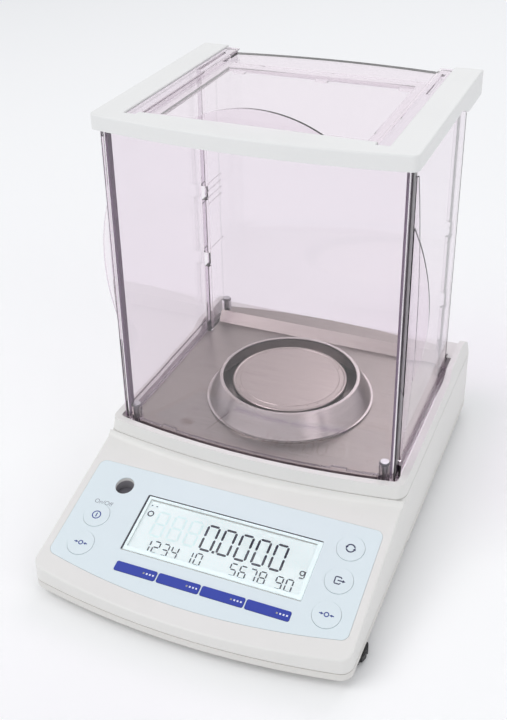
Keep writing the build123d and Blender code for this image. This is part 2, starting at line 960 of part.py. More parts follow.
def make_pan():
    # Section from the middle to the skirt: raised disc, groove, rounded bead, skirt.
    groove_outer = pan_radius - pan_bead
    groove_inner = groove_outer - pan_groove_width
    groove_top = pan_top - pan_groove_depth
    disc_top = groove_top + pan_disc_rise
    under = pan_underside()
    skirt_low = pan_top - pan_skirt
    outline = Curve() + [
        Line((0, under), (0, disc_top)),
        Line((0, disc_top), (groove_inner - 0.4, disc_top)),
        Line((groove_inner - 0.4, disc_top), (groove_inner, groove_top)),
        Line((groove_inner, groove_top), (groove_outer, groove_top)),
        ThreePointArc(
            (groove_outer, groove_top),
            (pan_radius - pan_bead / 2, pan_top),
            (pan_radius, groove_top - 0.3),
        ),
        Line((pan_radius, groove_top - 0.3), (pan_radius, skirt_low)),
        Line((pan_radius, skirt_low), (pan_radius - 1.0, skirt_low)),
        Line((pan_radius - 1.0, skirt_low), (pan_radius - 1.0, under)),
        Line((pan_radius - 1.0, under), (0, under)),
    ]
    body = revolve(Plane.XZ * make_face(outline), Axis.Z)
    # Four pairs of dimples in the groove
    middle = (groove_inner + groove_outer) / 2
    for quarter in range(4):
        for side in (-1, 1):
            angle = 45 + 90 * quarter + side * dimple_spread
            dimple = Cylinder(dimple_radius, 2 * dimple_depth)
            body -= Rot(0, 0, angle) * Pos(middle, 0, groove_top) * dimple
    return Pos(0, pan_y, 0) * body


def make_ring():
    # Sheet-metal cone on a narrow flange, with a turned-in lip.
    low = floor_top
    foot_top = low + ring_foot_thickness
    top = low + ring_height
    cone_foot = ring_foot_radius - ring_foot_width
    section = make_face(
        Polyline(
            (ring_foot_radius, low),
            (ring_foot_radius, foot_top),
            (cone_foot, foot_top),
            (ring_top_radius + ring_wall, top),
            (ring_top_radius - ring_lip, top),
            (ring_top_radius - ring_lip, top - ring_wall),
            (ring_top_radius, top - ring_wall),
            (cone_foot - 2 * ring_wall, low),
            close=True,
        )
    )
    return Pos(0, pan_y, 0) * revolve(Plane.XZ * section, Axis.Z)


def make_adjust_arm():
    # Two notched prongs ahead of the cell, which take the weight when it is lowered.
    axis_z = casting_top + adjust_height
    lowered = axis_z - adjust_drop
    bottom = lowered - adjust_radius - 3.0
    front = adjust_y - arm_depth
    body = block(-cell_width / 2, cell_width / 2, cell_front - arm_plate, cell_front, bottom, lowered)
    for side in (-1, 1):
        x = side * arm_spacing / 2
        body += block(
            x - arm_width / 2, x + arm_width / 2, front, cell_front - arm_plate,
            bottom, lowered - arm_depth / 2,
        )
    notch = Plane.YZ * Pos(adjust_y, lowered) * Circle(adjust_radius + seat_gap)
    body -= extrude(notch, cell_width, both=True)
    return body


def make_adjust_weight():
    # A turned cylinder lying across the balance, with a waist in the middle.
    axis_z = casting_top + adjust_height
    body = Rot(0, 90, 0) * Cylinder(adjust_radius, adjust_length)
    waist = Rot(0, 90, 0) * (Cylinder(adjust_radius + 1, 4) - Cylinder(adjust_groove_radius, 4))
    return Pos(0, adjust_y, axis_z) * (body - waist)


def lifter_bar_bottom():
    return casting_top + adjust_drop + lifter_clearance


def make_lifter():
    # A nut on the screw carries a bar with two cradles, which hold the weight clear of the arm.
    axis_z = casting_top + adjust_height
    low = lifter_bar_bottom()
    bar_top = low + lifter_bar_height
    depth = lifter_bar_depth / 2
    right = cradle_spacing / 2 + cradle_thickness / 2
    body = block(lift_screw_x, right, adjust_y - depth, adjust_y + depth, low, bar_top)
    for side in (-1, 1):
        x = side * cradle_spacing / 2
        body += block(
            x - cradle_thickness / 2, x + cradle_thickness / 2,
            adjust_y - adjust_radius, adjust_y + adjust_radius, low, axis_z - 3,
        )
    seat = Plane.YZ * Pos(adjust_y, axis_z) * Circle(adjust_radius)
    body -= extrude(seat, adjust_length, both=True)
    body += post(lift_screw_x, adjust_y, lift_nut_radius, low, low + lift_nut_height)
    bore = lift_screw_radius + screw_gap
    body -= post(lift_screw_x, adjust_y, bore, low - 1, low + lift_nut_height + 1)
    return body


def bracket_plate_top():
    return deck_under - motor_bracket_drop


def make_lift_screw():
    return post(
        lift_screw_x, adjust_y, lift_screw_radius, casting_top + screw_gap,
        bracket_plate_top() - screw_gap,
    )


def make_motor_bracket():
    left = lift_screw_x - motor_radius - bracket_column
    right = lift_screw_x + motor_radius
    front = adjust_y - bracket_width / 2
    rear = adjust_y + bracket_width / 2
    top = bracket_plate_top()
    body = block(left, left + bracket_column, front, rear, casting_top, top)
    body += block(left, right, front, rear, top - bracket_plate, top)
    bore = lift_screw_radius + screw_gap
    body -= post(lift_screw_x, adjust_y, bore, top - bracket_plate - 1, top + 1)
    return body


def make_motor():
    top = deck_under - motor_gap
    low = bracket_plate_top()
    can = Circle(motor_radius) & Rectangle(2 * motor_radius, 1.7 * motor_radius)
    body = prism(Pos(lift_screw_x, adjust_y) * can, low, top)
    return fillet(body.edges().group_by(Axis.Z)[-1], 0.8)


def make_foot_knob(side):
    knob_top = foot_pad_thickness + foot_knob_thickness
    body = post(0, 0, foot_pad_radius, 0, foot_pad_thickness)
    knob = post(0, 0, foot_knob_radius, foot_pad_thickness, knob_top)
    for spot in PolarLocations(foot_knob_radius + foot_flute_radius / 2, foot_flutes):
        knob -= Pos(0, 0, foot_pad_thickness + foot_knob_thickness / 2) * spot * Cylinder(
            foot_flute_radius, foot_knob_thickness
        )
    body += knob
    body -= post(0, 0, foot_stem_radius, foot_pad_thickness, knob_top + 1)
    return Pos(side * foot_x, foot_y, 0) * body


def make_foot_stem(side):
    top = leg_height + foot_bush_height - 1
    body = post(side * foot_x, foot_y, foot_stem_radius, foot_pad_thickness, top)
    return chamfer(body.edges().group_by(Axis.Z)[-1], 0.8)


def make_foot_bushes():
    bushes = []
    for side in (-1, 1):
        bush = post(
            side * foot_x, foot_y, foot_bush_radius, leg_height, leg_height + foot_bush_height
        )
        bore = foot_stem_radius + foot_gap
        bushes.append(
            bush - post(side * foot_x, foot_y, bore, leg_height - 1, leg_height + foot_bush_height + 1)
        )
    return Compound(children=bushes)


def make_rear_feet():
    feet = []
    for side in (-1, 1):
        foot = post(side * rear_foot_x, rear_foot_y, rear_foot_radius, 0, leg_height)
        feet.append(chamfer(foot.edges().group_by(Axis.Z)[0], 1.0))
    return Compound(children=feet)


def make_hook_cover():
    # A plug with a thin flange inside, and a coin slot below.
    body = post(0, pan_y, hook_cover_radius - 0.2, leg_height + 0.4, inside_floor)
    flange_radius = hook_cover_radius + hook_cover_lip
    body += post(0, pan_y, flange_radius, inside_floor, inside_floor + hook_cover_lip)
    coin = Box(hook_cover_radius, 1.6, 2.0)
    return body - Pos(0, pan_y, leg_height + 0.4) * coin


def make_tray_screws():
    head_top = leg_height + tray_screw_head_height
    screws = []
    for x, y in tray_screw_places:
        body = post(x, y, tray_screw_radius, head_top, split_z + tray_screw_bite)
        body += post(x, y, tray_screw_head - 0.2, leg_height + 0.3, head_top)
        screws.append(body)
    return Compound(children=screws)


def make_casting_screws():
    screws = []
    for x, y in casting_post_places():
        body = post(x, y, casting_screw_radius, inside_floor + 0.5, casting_top)
        body += post(x, y, 2 * casting_screw_radius, casting_top, casting_top + casting_screw_radius)
        screws.append(body)
    return Compound(children=screws)


def make_board_screws():
    screws = []
    board_under = inside_floor + main_board_height
    head_low = board_under + board_thickness
    for x, y in main_board_posts():
        body = post(x, y, board_screw_radius, inside_floor + 2, head_low)
        body += post(x, y, 2 * board_screw_radius, head_low, head_low + board_screw_radius)
        screws.append(body)
    head_top = board_top - board_thickness
    head = Circle(2 * board_screw_radius)
    for x, y in display_bosses:
        body = panel_solid(x, y, Circle(board_screw_radius), head_top, panel_under - 1)
        body += panel_solid(x, y, head, head_top - board_screw_radius, head_top)
        screws.append(body)
    return Compound(children=screws)


def make_shield_screws():
    screws = []
    for x, y in corner_screws():
        height = corner_boss_height if y < pan_y else shell_boss_height
        top = deck_top + height
        body = post(x, y, corner_screw_radius, deck_under, top)
        body += post(x, y, 1.9 * corner_screw_radius, top, top + corner_screw_radius)
        screws.append(body)
    return Compound(children=screws)


def make_main_board():
    low = inside_floor + main_board_height
    middle = main_board_front + main_board_depth / 2
    face = Pos(0, middle) * RectangleRounded(main_board_width, main_board_depth, 2)
    body = prism(face, low, low + board_thickness)
    for x, y in main_board_posts():
        body -= post(x, y, board_screw_radius, low - 1, low + board_thickness + 1)
    return body


def board_side(inset):
    # A place counted in from the left edge, or from the right edge if the inset is negative.
    edge = main_board_width / 2
    return inset - edge if inset > 0 else edge + inset


def make_board_chips():
    low = inside_floor + main_board_height + board_thickness
    middle = main_board_front + main_board_depth / 2
    parts = []
    for inset, offset, width, depth, height in board_packages:
        x = board_side(inset)
        y = middle + offset
        parts.append(
            block(x - width / 2, x + width / 2, y - depth / 2, y + depth / 2, low, low + height)
        )
    for inset, offset, radius, height in board_cans:
        parts.append(post(board_side(inset), middle + offset, radius, low, low + height))
    return Compound(children=parts)


def make_display_board():
    low = board_top - board_thickness
    near = (display_board_front - panel_y) / cos(lift_angle)
    far = (display_board_rear - panel_y) / cos(lift_angle)
    face = Pos(0, (near + far) / 2) * RectangleRounded(display_board_width, far - near, 3)
    body = panel_surface.location * Pos(0, 0, low) * extrude(face, board_thickness)
    cup_hole = level_radius + level_wall + display_board_gap
    body -= post(level_x, level_y, cup_hole, split_z, rim_top)
    for x, y in display_bosses:
        body -= panel_solid(x, y, Circle(board_screw_radius), low - 1, board_top + 1)
    return body


def key_centres():
    return list(round_keys.values()) + soft_key_places()


def plunger_low():
    return key_floor - key_pad_thickness


def make_key_switches():
    button_top = plunger_low() - key_travel - switch_gap
    switches = []
    for x, y in key_centres():
        body_top = button_top - switch_button_height
        body = panel_solid(x, y, Rectangle(switch_size, switch_size), board_top, body_top)
        body += panel_solid(x, y, Circle(switch_button_radius), body_top, button_top)
        switches.append(body)
    return Compound(children=switches)


def make_key(x, y, outline):
    top = overlay_thickness - overlay_recess + key_proud
    body = panel_solid(x, y, outline, top - key_thickness, top)
    plunger = panel_solid(x, y, Circle(plunger_radius), plunger_low(), top - key_thickness)
    return body + plunger


def make_overlay():
    face = overlay_face(0)
    body = on_panel(0, panel_y, -overlay_recess) * extrude(face, overlay_thickness)
    low = -overlay_recess - 1
    for x, y in round_keys.values():
        body -= panel_solid(x, y, round_key_well(), low, 1)
    for x, y in soft_key_places():
        body -= panel_solid(x, y, soft_key_face(key_gap), low, 1)
    body -= panel_solid(lcd_x, lcd_y, lcd_face(pane_gap), low, 1)
    body -= post(level_x, level_y, level_radius, level_floor, rim_top)
    return body


def make_lcd_window():
    top = overlay_thickness - overlay_recess
    return panel_solid(lcd_x, lcd_y, lcd_face(0), top - lcd_pane_thickness, top)


def make_lcd_module():
    margin = 2 * lcd_module_margin
    case = RectangleRounded(lcd_width + margin, lcd_height + margin, 1.5)
    body = panel_solid(lcd_x, lcd_y, case, board_top, panel_under)
    glass = lcd_opening()
    return body + panel_solid(lcd_x, lcd_y, offset(glass, -pane_gap), panel_under, panel_under + 0.6)


def make_level_cup():
    outer = level_radius + level_wall
    body = post(level_x, level_y, outer, level_floor, rim_top)
    above = panel_solid(level_x, level_y, Circle(4 * outer), panel_under, rim_top)
    body -= above
    return body - post(level_x, level_y, level_radius, level_floor + level_wall, rim_top)


def make_level_vial():
    low = level_floor + level_wall
    body = post(level_x, level_y, level_radius - level_gap, low, low + level_vial_height)
    return fillet(body.edges().group_by(Axis.Z)[-1], 0.8)


def socket_face_y(x):
    # The rear wall bows, so each socket's face follows the wall at its own place.
    return rear_y - rear_bulge * (x / base_half) ** 2 - socket_setback


def make_dc_jack():
    low = inside_floor + main_board_height + board_thickness
    face_y = socket_face_y(jack_x)
    middle = low + jack_height / 2
    body = block(
        jack_x - jack_width / 2, jack_x + jack_width / 2, face_y - socket_depth, face_y,
        low, low + jack_height,
    )
    bore = Plane.XZ * Pos(jack_x, middle) * Circle(jack_bore_radius)
    body -= Pos(0, face_y, 0) * extrude(bore, jack_bore_depth, dir=(0, -1, 0))
    pin = Plane.XZ * Pos(jack_x, middle) * Circle(jack_pin_radius)
    return body + Pos(0, face_y - jack_bore_depth, 0) * extrude(
        pin, jack_bore_depth - 1, dir=(0, 1, 0)
    )


def make_serial_port():
    low = inside_floor + main_board_height + board_thickness
    face_y = socket_face_y(serial_x)
    middle = low + serial_height / 2
    body = block(
        serial_x - serial_width / 2, serial_x + serial_width / 2, face_y - socket_depth,
        face_y - serial_shell_reach, low, low + serial_height,
    )
    # A D-shaped shell with slanted ends
    half_low = serial_shell_width / 2 - 1.2
    half_high = serial_shell_width / 2
    tall = serial_shell_height / 2
    shell = make_face(
        Polyline(
            (-half_low, -tall), (half_low, -tall), (half_high, tall), (-half_high, tall), close=True
        )
    )
    shell = fillet(shell.vertices(), 1.5)
    shell -= offset(shell, -0.6)
    face = Plane.XZ * Pos(serial_x, middle) * shell
    reach = extrude(face, serial_shell_reach, dir=(0, 1, 0))
    body += Pos(0, face_y - serial_shell_reach, 0) * reach
    # Nine contact holes in two rows
    for count, z in ((5, 1.4), (4, -1.4)):
        for i in range(count):
            x = serial_x + (i - (count - 1) / 2) * 2.77
            hole = Plane.XZ * Pos(x, middle + z) * Circle(0.5)
            body -= Pos(0, face_y - serial_shell_reach, 0) * extrude(hole, 4, dir=(0, -1, 0))
    return body


def floor_outline(inset):
    # Wide between the doors, narrower between the side walls of the rear shell.
    front = panel_front + pane + bottom_rail_thickness + floor_gap + inset
    wide = track_inner - floor_gap - inset
    narrow = shell_half - pane - floor_gap - inset
    step = shell_front - floor_gap - inset
    rear = shell_rear_corner + shell_rear_bulge - pane - floor_gap - inset
    wide_face = flat_rear_plan(wide, front, step, panel_bulge, panel_corner_radius)
    narrow_face = bowed_plan(narrow, front, rear, panel_bulge, shell_rear_bulge, 1.0)
    return wide_face + narrow_face


def floor_surface(lowered):
    front = panel_front - 1
    fold_end = floor_fold_y + floor_fold_length
    flat = floor_top - lowered
    shelf = flat + floor_fold_rise
    rear = shell_rear_corner + shell_rear_bulge
    points = [
        (front, deck_top),
        (front, flat),
        (floor_fold_y, flat),
        (fold_end, shelf),
        (rear, shelf),
        (rear, deck_top),
    ]
    return from_side(points, base_half)


def make_floor_plate():
    # One folded sheet with turned-down edges and a raised shelf at the rear.
    outside = prism(floor_outline(0), deck_top, rim_top + floor_fold_rise)
    inside = prism(floor_outline(floor_sheet), deck_top - 1, rim_top + floor_fold_rise)
    body = (outside & floor_surface(0)) - (inside & floor_surface(floor_sheet))
    body -= post(0, pan_y, floor_hole_radius, deck_top - 1, rim_top)
    for x, y in corner_screws():
        body -= post(x, y, corner_boss_radius + floor_gap, deck_top - 1, cap_top)
    # The front corners are cut back for the bosses of the front panel
    for side in (-1, 1):
        corner = corner_screws()[0 if side < 0 else 1]
        reach = corner_boss_radius + floor_gap
        outer_x = corner[0] + side * 2 * reach
        body -= block(
            min(corner[0], outer_x), max(corner[0], outer_x), panel_front, corner[1] + reach,
            deck_top - 1, cap_top,
        )
    return body


def panel_ring():
    outer = flat_rear_plan(
        shield_half, panel_front, pan_y, panel_bulge, panel_corner_radius
    )
    inner = flat_rear_plan(
        shield_half - pane, panel_front + pane, pan_y + 1, panel_bulge, panel_corner_radius - 1.5
    )
    return outer - inner


def make_front_panel():
    # A clear pane that bows toward the user and turns the corner on both sides.
    side_end = panel_front + panel_bulge + panel_return
    keep = block(-base_half, base_half, front_y, side_end, deck_top, shield_top)
    body = prism(panel_ring(), deck_top, shield_top) & keep

    # Thicker rail along the foot, with two clips
    boss_x = corner_screws()[1][0]
    inner = flat_rear_plan(
        shield_half - pane, panel_front + pane, pan_y, panel_bulge, panel_corner_radius - 1.5
    )
    inmost = flat_rear_plan(
        shield_half - pane - bottom_rail_thickness,
        panel_front + pane + bottom_rail_thickness,
        pan_y + 1,
        panel_bulge,
        panel_corner_radius - 1.5,
    )
    rail = prism(inner - inmost, deck_top, deck_top + bottom_rail_height)
    rail &= block(-boss_x, boss_x, front_y, pan_y, deck_top, shield_top)
    body += rail
    for x in clip_places:
        clip = prism(inner - inmost, deck_top, deck_top + bottom_rail_height + clip_rise)
        half = clip_width / 2
        body += clip & block(x - half, x + half, front_y, pan_y, deck_top, shield_top)

    # A screw boss in each corner, joined to the pane by a short web
    for x, y in corner_screws()[:2]:
        top = deck_top + corner_boss_height
        boss = post(x, y, corner_boss_radius, deck_top, top)
        web = block(x - 1, x + 1, panel_front + pane, y, deck_top, top) & prism(
            inner, deck_top, top
        )
        body += boss + web
        body -= post(x, y, corner_screw_radius, deck_top - 1, top + 1)
    return body


def make_seal(side):
    # Dark strip along the inside of the panel's return, where the door closes.
    rear = panel_front + panel_bulge + panel_return
    inner = side * (door_inner - seal_thickness)
    outer = side * door_inner
    return block(
        min(inner, outer), max(inner, outer), rear - seal_depth, rear,
        deck_top + bottom_rail_height, shield_top,
    )


def make_rear_shell():
    # Rear wall and both rear side walls in one clear moulding.
    rear = shell_rear_corner + shell_rear_bulge
    outer = bowed_plan(shell_half, panel_front, rear, panel_bulge, shell_rear_bulge, 2.5)
    inner = bowed_plan(
        shell_half - pane, panel_front - 1, rear - pane, panel_bulge, shell_rear_bulge, 1.0
    )
    keep = block(-base_half, base_half, shell_front, rear_y, deck_top, shield_top)
    ring = (outer - inner) & Pos(0, shell_front + rear_y) * Rectangle(base_width, 2 * rear_y)
    body = prism(ring, deck_top, shield_top) & keep
    for side in (-1, 1):
        inside = side * (shell_half - pane)
        deeper = side * (shell_half - pane - shell_edge_thickness)
        body += block(
            min(inside, deeper), max(inside, deeper), shell_front,
            shell_front + shell_edge_depth, floor_top + 1, shield_top,
        )
        for low, high in shell_notches:
            middle = Pos(side * (shell_half - pane), shell_front, (low + high) / 2)
            body -= middle * Box(4 * pane, 2 * shell_notch_depth, high - low)
        for z in shell_ribs:
            rib = side * (shell_half - pane - shell_rib_size)
            body += block(
                min(inside, rib), max(inside, rib), shell_front + shell_notch_depth,
                shell_rear_corner - pane, z - shell_rib_size / 2, z + shell_rib_size / 2,
            )
    for x, y in corner_screws()[2:]:
        top = deck_top + shell_boss_height
        body += post(x, y, corner_boss_radius, deck_top, top)
        body -= post(x, y, corner_screw_radius, deck_top - 1, top + 1)
    return body


def make_track(side):
    # Low channel on the deck that the foot of a side door runs in.
    front = panel_front + panel_bulge + panel_return
    rear = shell_rear_corner
    low = deck_top
    inner = track_inner
    outer = rim_inner - track_gap
    body = block(inner, outer, front, rear, low, low + track_floor)
    body += block(inner, inner + track_wall, front, rear, low, low + track_wall_height)
    return body if side > 0 else mirror(body, about=Plane.YZ)


def segment(bottom, height, reach, start):
    # A shallow outline that stands out from the face of a door, bowed between its ends.
    middle = bottom + height / 2
    top = bottom + height
    return make_face(
        Curve() + [
            Line((0, bottom), (start, bottom)),
            ThreePointArc((start, bottom), (reach, middle), (start, top)),
            Line((start, top), (0, top)),
            Line((0, top), (0, bottom)),
        ]
    )


def make_side_door(side):
    low = deck_top + track_floor + door_lift
    high = frame_top - door_head_gap
    body = block(door_inner, shield_half, door_front, door_rear, low, high)
    band_inner = door_inner - door_band_inner
    band_outer = shield_half + door_band_outer
    body += block(band_inner, band_outer, door_front, door_rear, low, low + door_band_height)
    # A long shallow lip along the closing edge, and the grip fin behind it
    lip = Plane.XZ * Pos(shield_half, 0) * segment(lip_bottom, lip_height, lip_reach, lip_start)
    body += Pos(0, door_front, 0) * extrude(lip, fin_thickness, dir=(0, 1, 0))
    chord = fin_height / 2
    fin_outline = segment(fin_bottom, fin_height, fin_reach, 0.2)
    fin = Plane.XZ * Pos(shield_half, 0) * fin_outline
    body += Pos(0, door_front + fin_thickness, 0) * extrude(fin, fin_thickness, dir=(0, 1, 0))
    return body if side > 0 else mirror(body, about=Plane.YZ)


def make_top_frame():
    rear = shell_rear_corner + shell_rear_bulge
    plate = bowed_plan(frame_half, panel_front, rear, panel_bulge, shell_rear_bulge, 2.5)
    body = prism(plate, shield_top, frame_top)
    body -= block(
        -opening_half, opening_half, opening_front, opening_rear, shield_top - 1, frame_top + 1
    )
    # Rails for the top door, each with a lip over the door's edge and a long slot
    rail_top = frame_top + rail_height
    for side in (-1, 1):
        left = min(side * rail_inner, side * (rail_outer - notch_gap))
        right = max(side * rail_inner, side * (rail_outer - notch_gap))
        body += block(left, right, rail_front, rail_rear, frame_top, rail_top)
        tip = side * (rail_inner - rail_lip)
        body += block(
            min(tip, side * rail_inner), max(tip, side * rail_inner), cap_bar_rear, rail_rear,
            rail_top - rail_lip_thickness, rail_top,
        )
        slot_y = rail_slot_rear - rail_slot_length / 2
        slot = Pos(side * (rail_inner + rail_outer) / 2, slot_y) * Rot(0, 0, 90)
        slot = slot * SlotOverall(rail_slot_length, rail_slot_width)
        body -= prism(slot, rail_top - rail_slot_depth, rail_top + 1)
    # Three clips below the rear border
    for x in tab_places:
        body += block(
            x - tab_width / 2, x + tab_width / 2, opening_rear, opening_rear + tab_depth,
            shield_top - tab_thickness, shield_top,
        )
    return body


def make_top_door():
    low = frame_top + top_door_gap
    high = low + top_door_thickness
    half = rail_inner - top_door_gap
    body = block(-half, half, top_door_front, top_door_rear, low, high)
    chord = top_fin_half
    arc = ThreePointArc((-chord, high), (0, high + top_fin_reach), (chord, high))
    fin = Plane.XZ * make_face(Curve() + [arc, Line((chord, high), (-chord, high))])
    return body + Pos(0, top_door_front, 0) * extrude(fin, fin_thickness, dir=(0, 1, 0))


def make_top_cap():
    low = cap_top - cap_height
    outline = flat_rear_plan(cap_half, cap_front, cap_rear, panel_bulge, cap_corner_radius)
    body = prism(outline, low, cap_top)
    inner_plan = flat_rear_plan(
        cap_half - cap_skirt, cap_front + cap_skirt, rear_y, panel_bulge, panel_corner_radius
    )
    body -= block(-rail_outer, rail_outer, cap_bar_rear, rear_y, low - 1, cap_top + 1)
    for side in (-1, 1):
        left = min(side * rail_inner, side * rail_outer)
        right = max(side * rail_inner, side * rail_outer)
        notch_front = rail_front - notch_gap
        body -= block(left, right, notch_front, cap_bar_rear + 1, low - 1, cap_top + 1)
    body = fillet(body.edges().group_by(Axis.Z)[-1], cap_edge_radius)

    # The lower edge of each side bar drops in a smooth curve toward the rear
    drop_end = cap_drop_start + cap_drop_length
    curve = Spline(
        (cap_drop_start, low), (drop_end, low - cap_drop), tangents=[(1, 0), (1, 0)]
    )
    cheek = Curve() + [
        Line((cap_drop_start, low + 1), (cap_drop_start, low)),
        curve,
        Line((drop_end, low - cap_drop), (cap_rear, low - cap_drop)),
        Line((cap_rear, low - cap_drop), (cap_rear, low + 1)),
        Line((cap_rear, low + 1), (cap_drop_start, low + 1)),
    ]
    drop = extrude(Plane.YZ * make_face(cheek), cap_half, both=True)
    body += drop - block(-rail_outer, rail_outer, 0, rear_y, low - 2 * cap_drop, low + 1)
    return body - prism(inner_plan, low - 2 * cap_drop, frame_top)


nodes = {
    "lower_tray": make_tray,
    "upper_housing": make_housing,
    "base_casting": make_casting,
    "sensor_block": make_cell,
    "tuning_fork": make_tuning_fork,
    "load_shaft": make_load_shaft,
    "calibration_arm": make_adjust_arm,
    "calibration_weight": make_adjust_weight,
    "weight_lifter": make_lifter,
    "lift_screw": make_lift_screw,
    "motor_bracket": make_motor_bracket,
    "calibration_motor": make_motor,
    "main_board": make_main_board,
    "board_chips": make_board_chips,
    "display_board": make_display_board,
    "key_switches": make_key_switches,
    "lcd_module": make_lcd_module,
    "lcd_window": make_lcd_window,
    "keypad_overlay": make_overlay,
    "level_cup": make_level_cup,
    "level_vial": make_level_vial,
    "dc_jack": make_dc_jack,
    "serial_port": make_serial_port,
    "hook_cover": make_hook_cover,
    "foot_bushes": make_foot_bushes,
    "rear_feet": make_rear_feet,
    "tray_screws": make_tray_screws,
    "casting_screws": make_casting_screws,
    "board_screws": make_board_screws,
    "shield_screws": make_shield_screws,
    "floor_plate": make_floor_plate,
    "windbreak_ring": make_ring,
    "weighing_pan": make_pan,
    "pan_support": make_pan_support,
    "front_panel": make_front_panel,
    "rear_shell": make_rear_shell,
    "top_frame": make_top_frame,
    "top_door": make_top_door,
    "top_cap": make_top_cap,
}
for name, side in (("left", -1), ("right", 1)):
    nodes[name + "_door"] = lambda side=side: make_side_door(side)
    nodes[name + "_track"] = lambda side=side: make_track(side)
    nodes[name + "_seal"] = lambda side=side: make_seal(side)
    nodes[name + "_foot_knob"] = lambda side=side: make_foot_knob(side)
    nodes[name + "_foot_stem"] = lambda side=side: make_foot_stem(side)
for name, (x, y) in round_keys.items():
    nodes[name] = lambda x=x, y=y: make_key(x, y, Circle(round_key_radius))
for i, (x, y) in enumerate(soft_key_places()):
    nodes["soft_key_" + str(i + 1)] = lambda x=x, y=y: make_key(x, y, soft_key_face(0))

os.makedirs("parts", exist_ok=True)
for name, make in nodes.items():
    shape = make()
    export_step(shape, "parts/" + name + ".step")
    print(name, round(shape.volume), "mm3")
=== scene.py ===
import math

import bmesh
import bpy
from mathutils import Matrix, Vector


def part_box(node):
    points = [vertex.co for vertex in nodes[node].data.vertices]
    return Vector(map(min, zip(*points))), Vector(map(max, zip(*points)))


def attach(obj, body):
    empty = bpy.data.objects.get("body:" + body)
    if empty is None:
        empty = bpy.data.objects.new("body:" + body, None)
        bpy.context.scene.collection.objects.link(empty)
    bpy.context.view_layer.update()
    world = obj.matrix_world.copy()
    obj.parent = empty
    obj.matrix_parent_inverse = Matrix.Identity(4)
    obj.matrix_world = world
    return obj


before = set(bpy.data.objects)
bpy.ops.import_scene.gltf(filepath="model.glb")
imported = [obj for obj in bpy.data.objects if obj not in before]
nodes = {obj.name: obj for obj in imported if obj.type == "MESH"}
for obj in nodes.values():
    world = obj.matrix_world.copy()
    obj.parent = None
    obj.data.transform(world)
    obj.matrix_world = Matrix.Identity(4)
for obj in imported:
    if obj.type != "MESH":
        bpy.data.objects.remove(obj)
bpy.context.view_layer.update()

mm = 0.001
print("frame loaded:", len(nodes), "nodes")


# small helpers

def hexLinear(code):
    # sRGB hex to the linear colour that Blender's sockets take
    channels = [int(code[i:i + 2], 16) / 255 for i in (1, 3, 5)]
    linear = [c / 12.92 if c <= 0.04045 else ((c + 0.055) / 1.055) ** 2.4 for c in channels]
    return (*linear, 1.0)


def addNode(tree, kind, inputs=None, **settings):
    # one node, with its settings, its plain values and its incoming links
    node = tree.nodes.new(kind)
    for key, value in settings.items():
        setattr(node, key, value)
    for key, value in (inputs or {}).items():
        if isinstance(value, bpy.types.NodeSocket):
            tree.links.new(value, node.inputs[key])
        else:
            node.inputs[key].default_value = value
    return node


def newMaterial(name):
    material = bpy.data.materials.new(name)
    material.use_nodes = True
    material.node_tree.nodes.clear()
    return material, material.node_tree


def finishMaterial(tree, surface, volume=None):
    inputs = {"Surface": surface}
    if volume is not None:
        inputs["Volume"] = volume
    addNode(tree, "ShaderNodeOutputMaterial", inputs)


def paintNodes(material, *names):
    for name in names:
        mesh = nodes[name].data
        mesh.materials.clear()
        mesh.materials.append(material)


# materials

shellAbs = {
    "housing": "#E4E3E0",
    "cap": "#E6E6E5",
    "tray": "#DEDCD8",
    "grainSize": 1.1 * mm,  # real spark grain is 0.1 mm, drawn coarse enough to show
    "grainDepth": 0.05 * mm,
    "cloudSize": 45 * mm,   # slow change of shade over a big moulding
    "roughness": 0.42,
}


def mouldedAbs(name, colour):
    # injection moulded ABS: satin skin with a fine spark-eroded grain
    material, tree = newMaterial(name)
    place = addNode(tree, "ShaderNodeTexCoord").outputs["Object"]
    grain = addNode(tree, "ShaderNodeTexNoise", {
        "Vector": place, "Scale": 1 / shellAbs["grainSize"], "Detail": 3.0, "Roughness": 0.6})
    clouds = addNode(tree, "ShaderNodeTexNoise", {
        "Vector": place, "Scale": 1 / shellAbs["cloudSize"], "Detail": 2.0})
    shade = addNode(tree, "ShaderNodeMapRange", {
        "Value": clouds.outputs["Fac"], "From Min": 0.35, "From Max": 0.65,
        "To Min": 0.985, "To Max": 1.0})
    tinted = addNode(tree, "ShaderNodeVectorMath", {
        0: hexLinear(colour)[:3], 1: shade.outputs["Result"]}, operation="MULTIPLY")
    bump = addNode(tree, "ShaderNodeBump", {
        "Height": grain.outputs["Fac"], "Strength": 0.10, "Distance": shellAbs["grainDepth"]})
    gloss = addNode(tree, "ShaderNodeMapRange", {
        "Value": grain.outputs["Fac"], "To Min": shellAbs["roughness"] - 0.05,
        "To Max": shellAbs["roughness"] + 0.07})
    shader = addNode(tree, "ShaderNodeBsdfPrincipled", {
        "Base Color": tinted.outputs["Vector"], "Roughness": gloss.outputs["Result"],
        "IOR": 1.53, "Specular IOR Level": 0.4, "Normal": bump.outputs["Normal"]})
    finishMaterial(tree, shader.outputs["BSDF"])
    return material


film = {
    "paper": "#DCE8EC",
    "softKey": "#1432A0",
    "pitch": 0.9 * mm,  # texture of the screen-printed polyester, drawn coarse
    "toothDepth": 0.03 * mm,
    "roughness": 0.33,
}


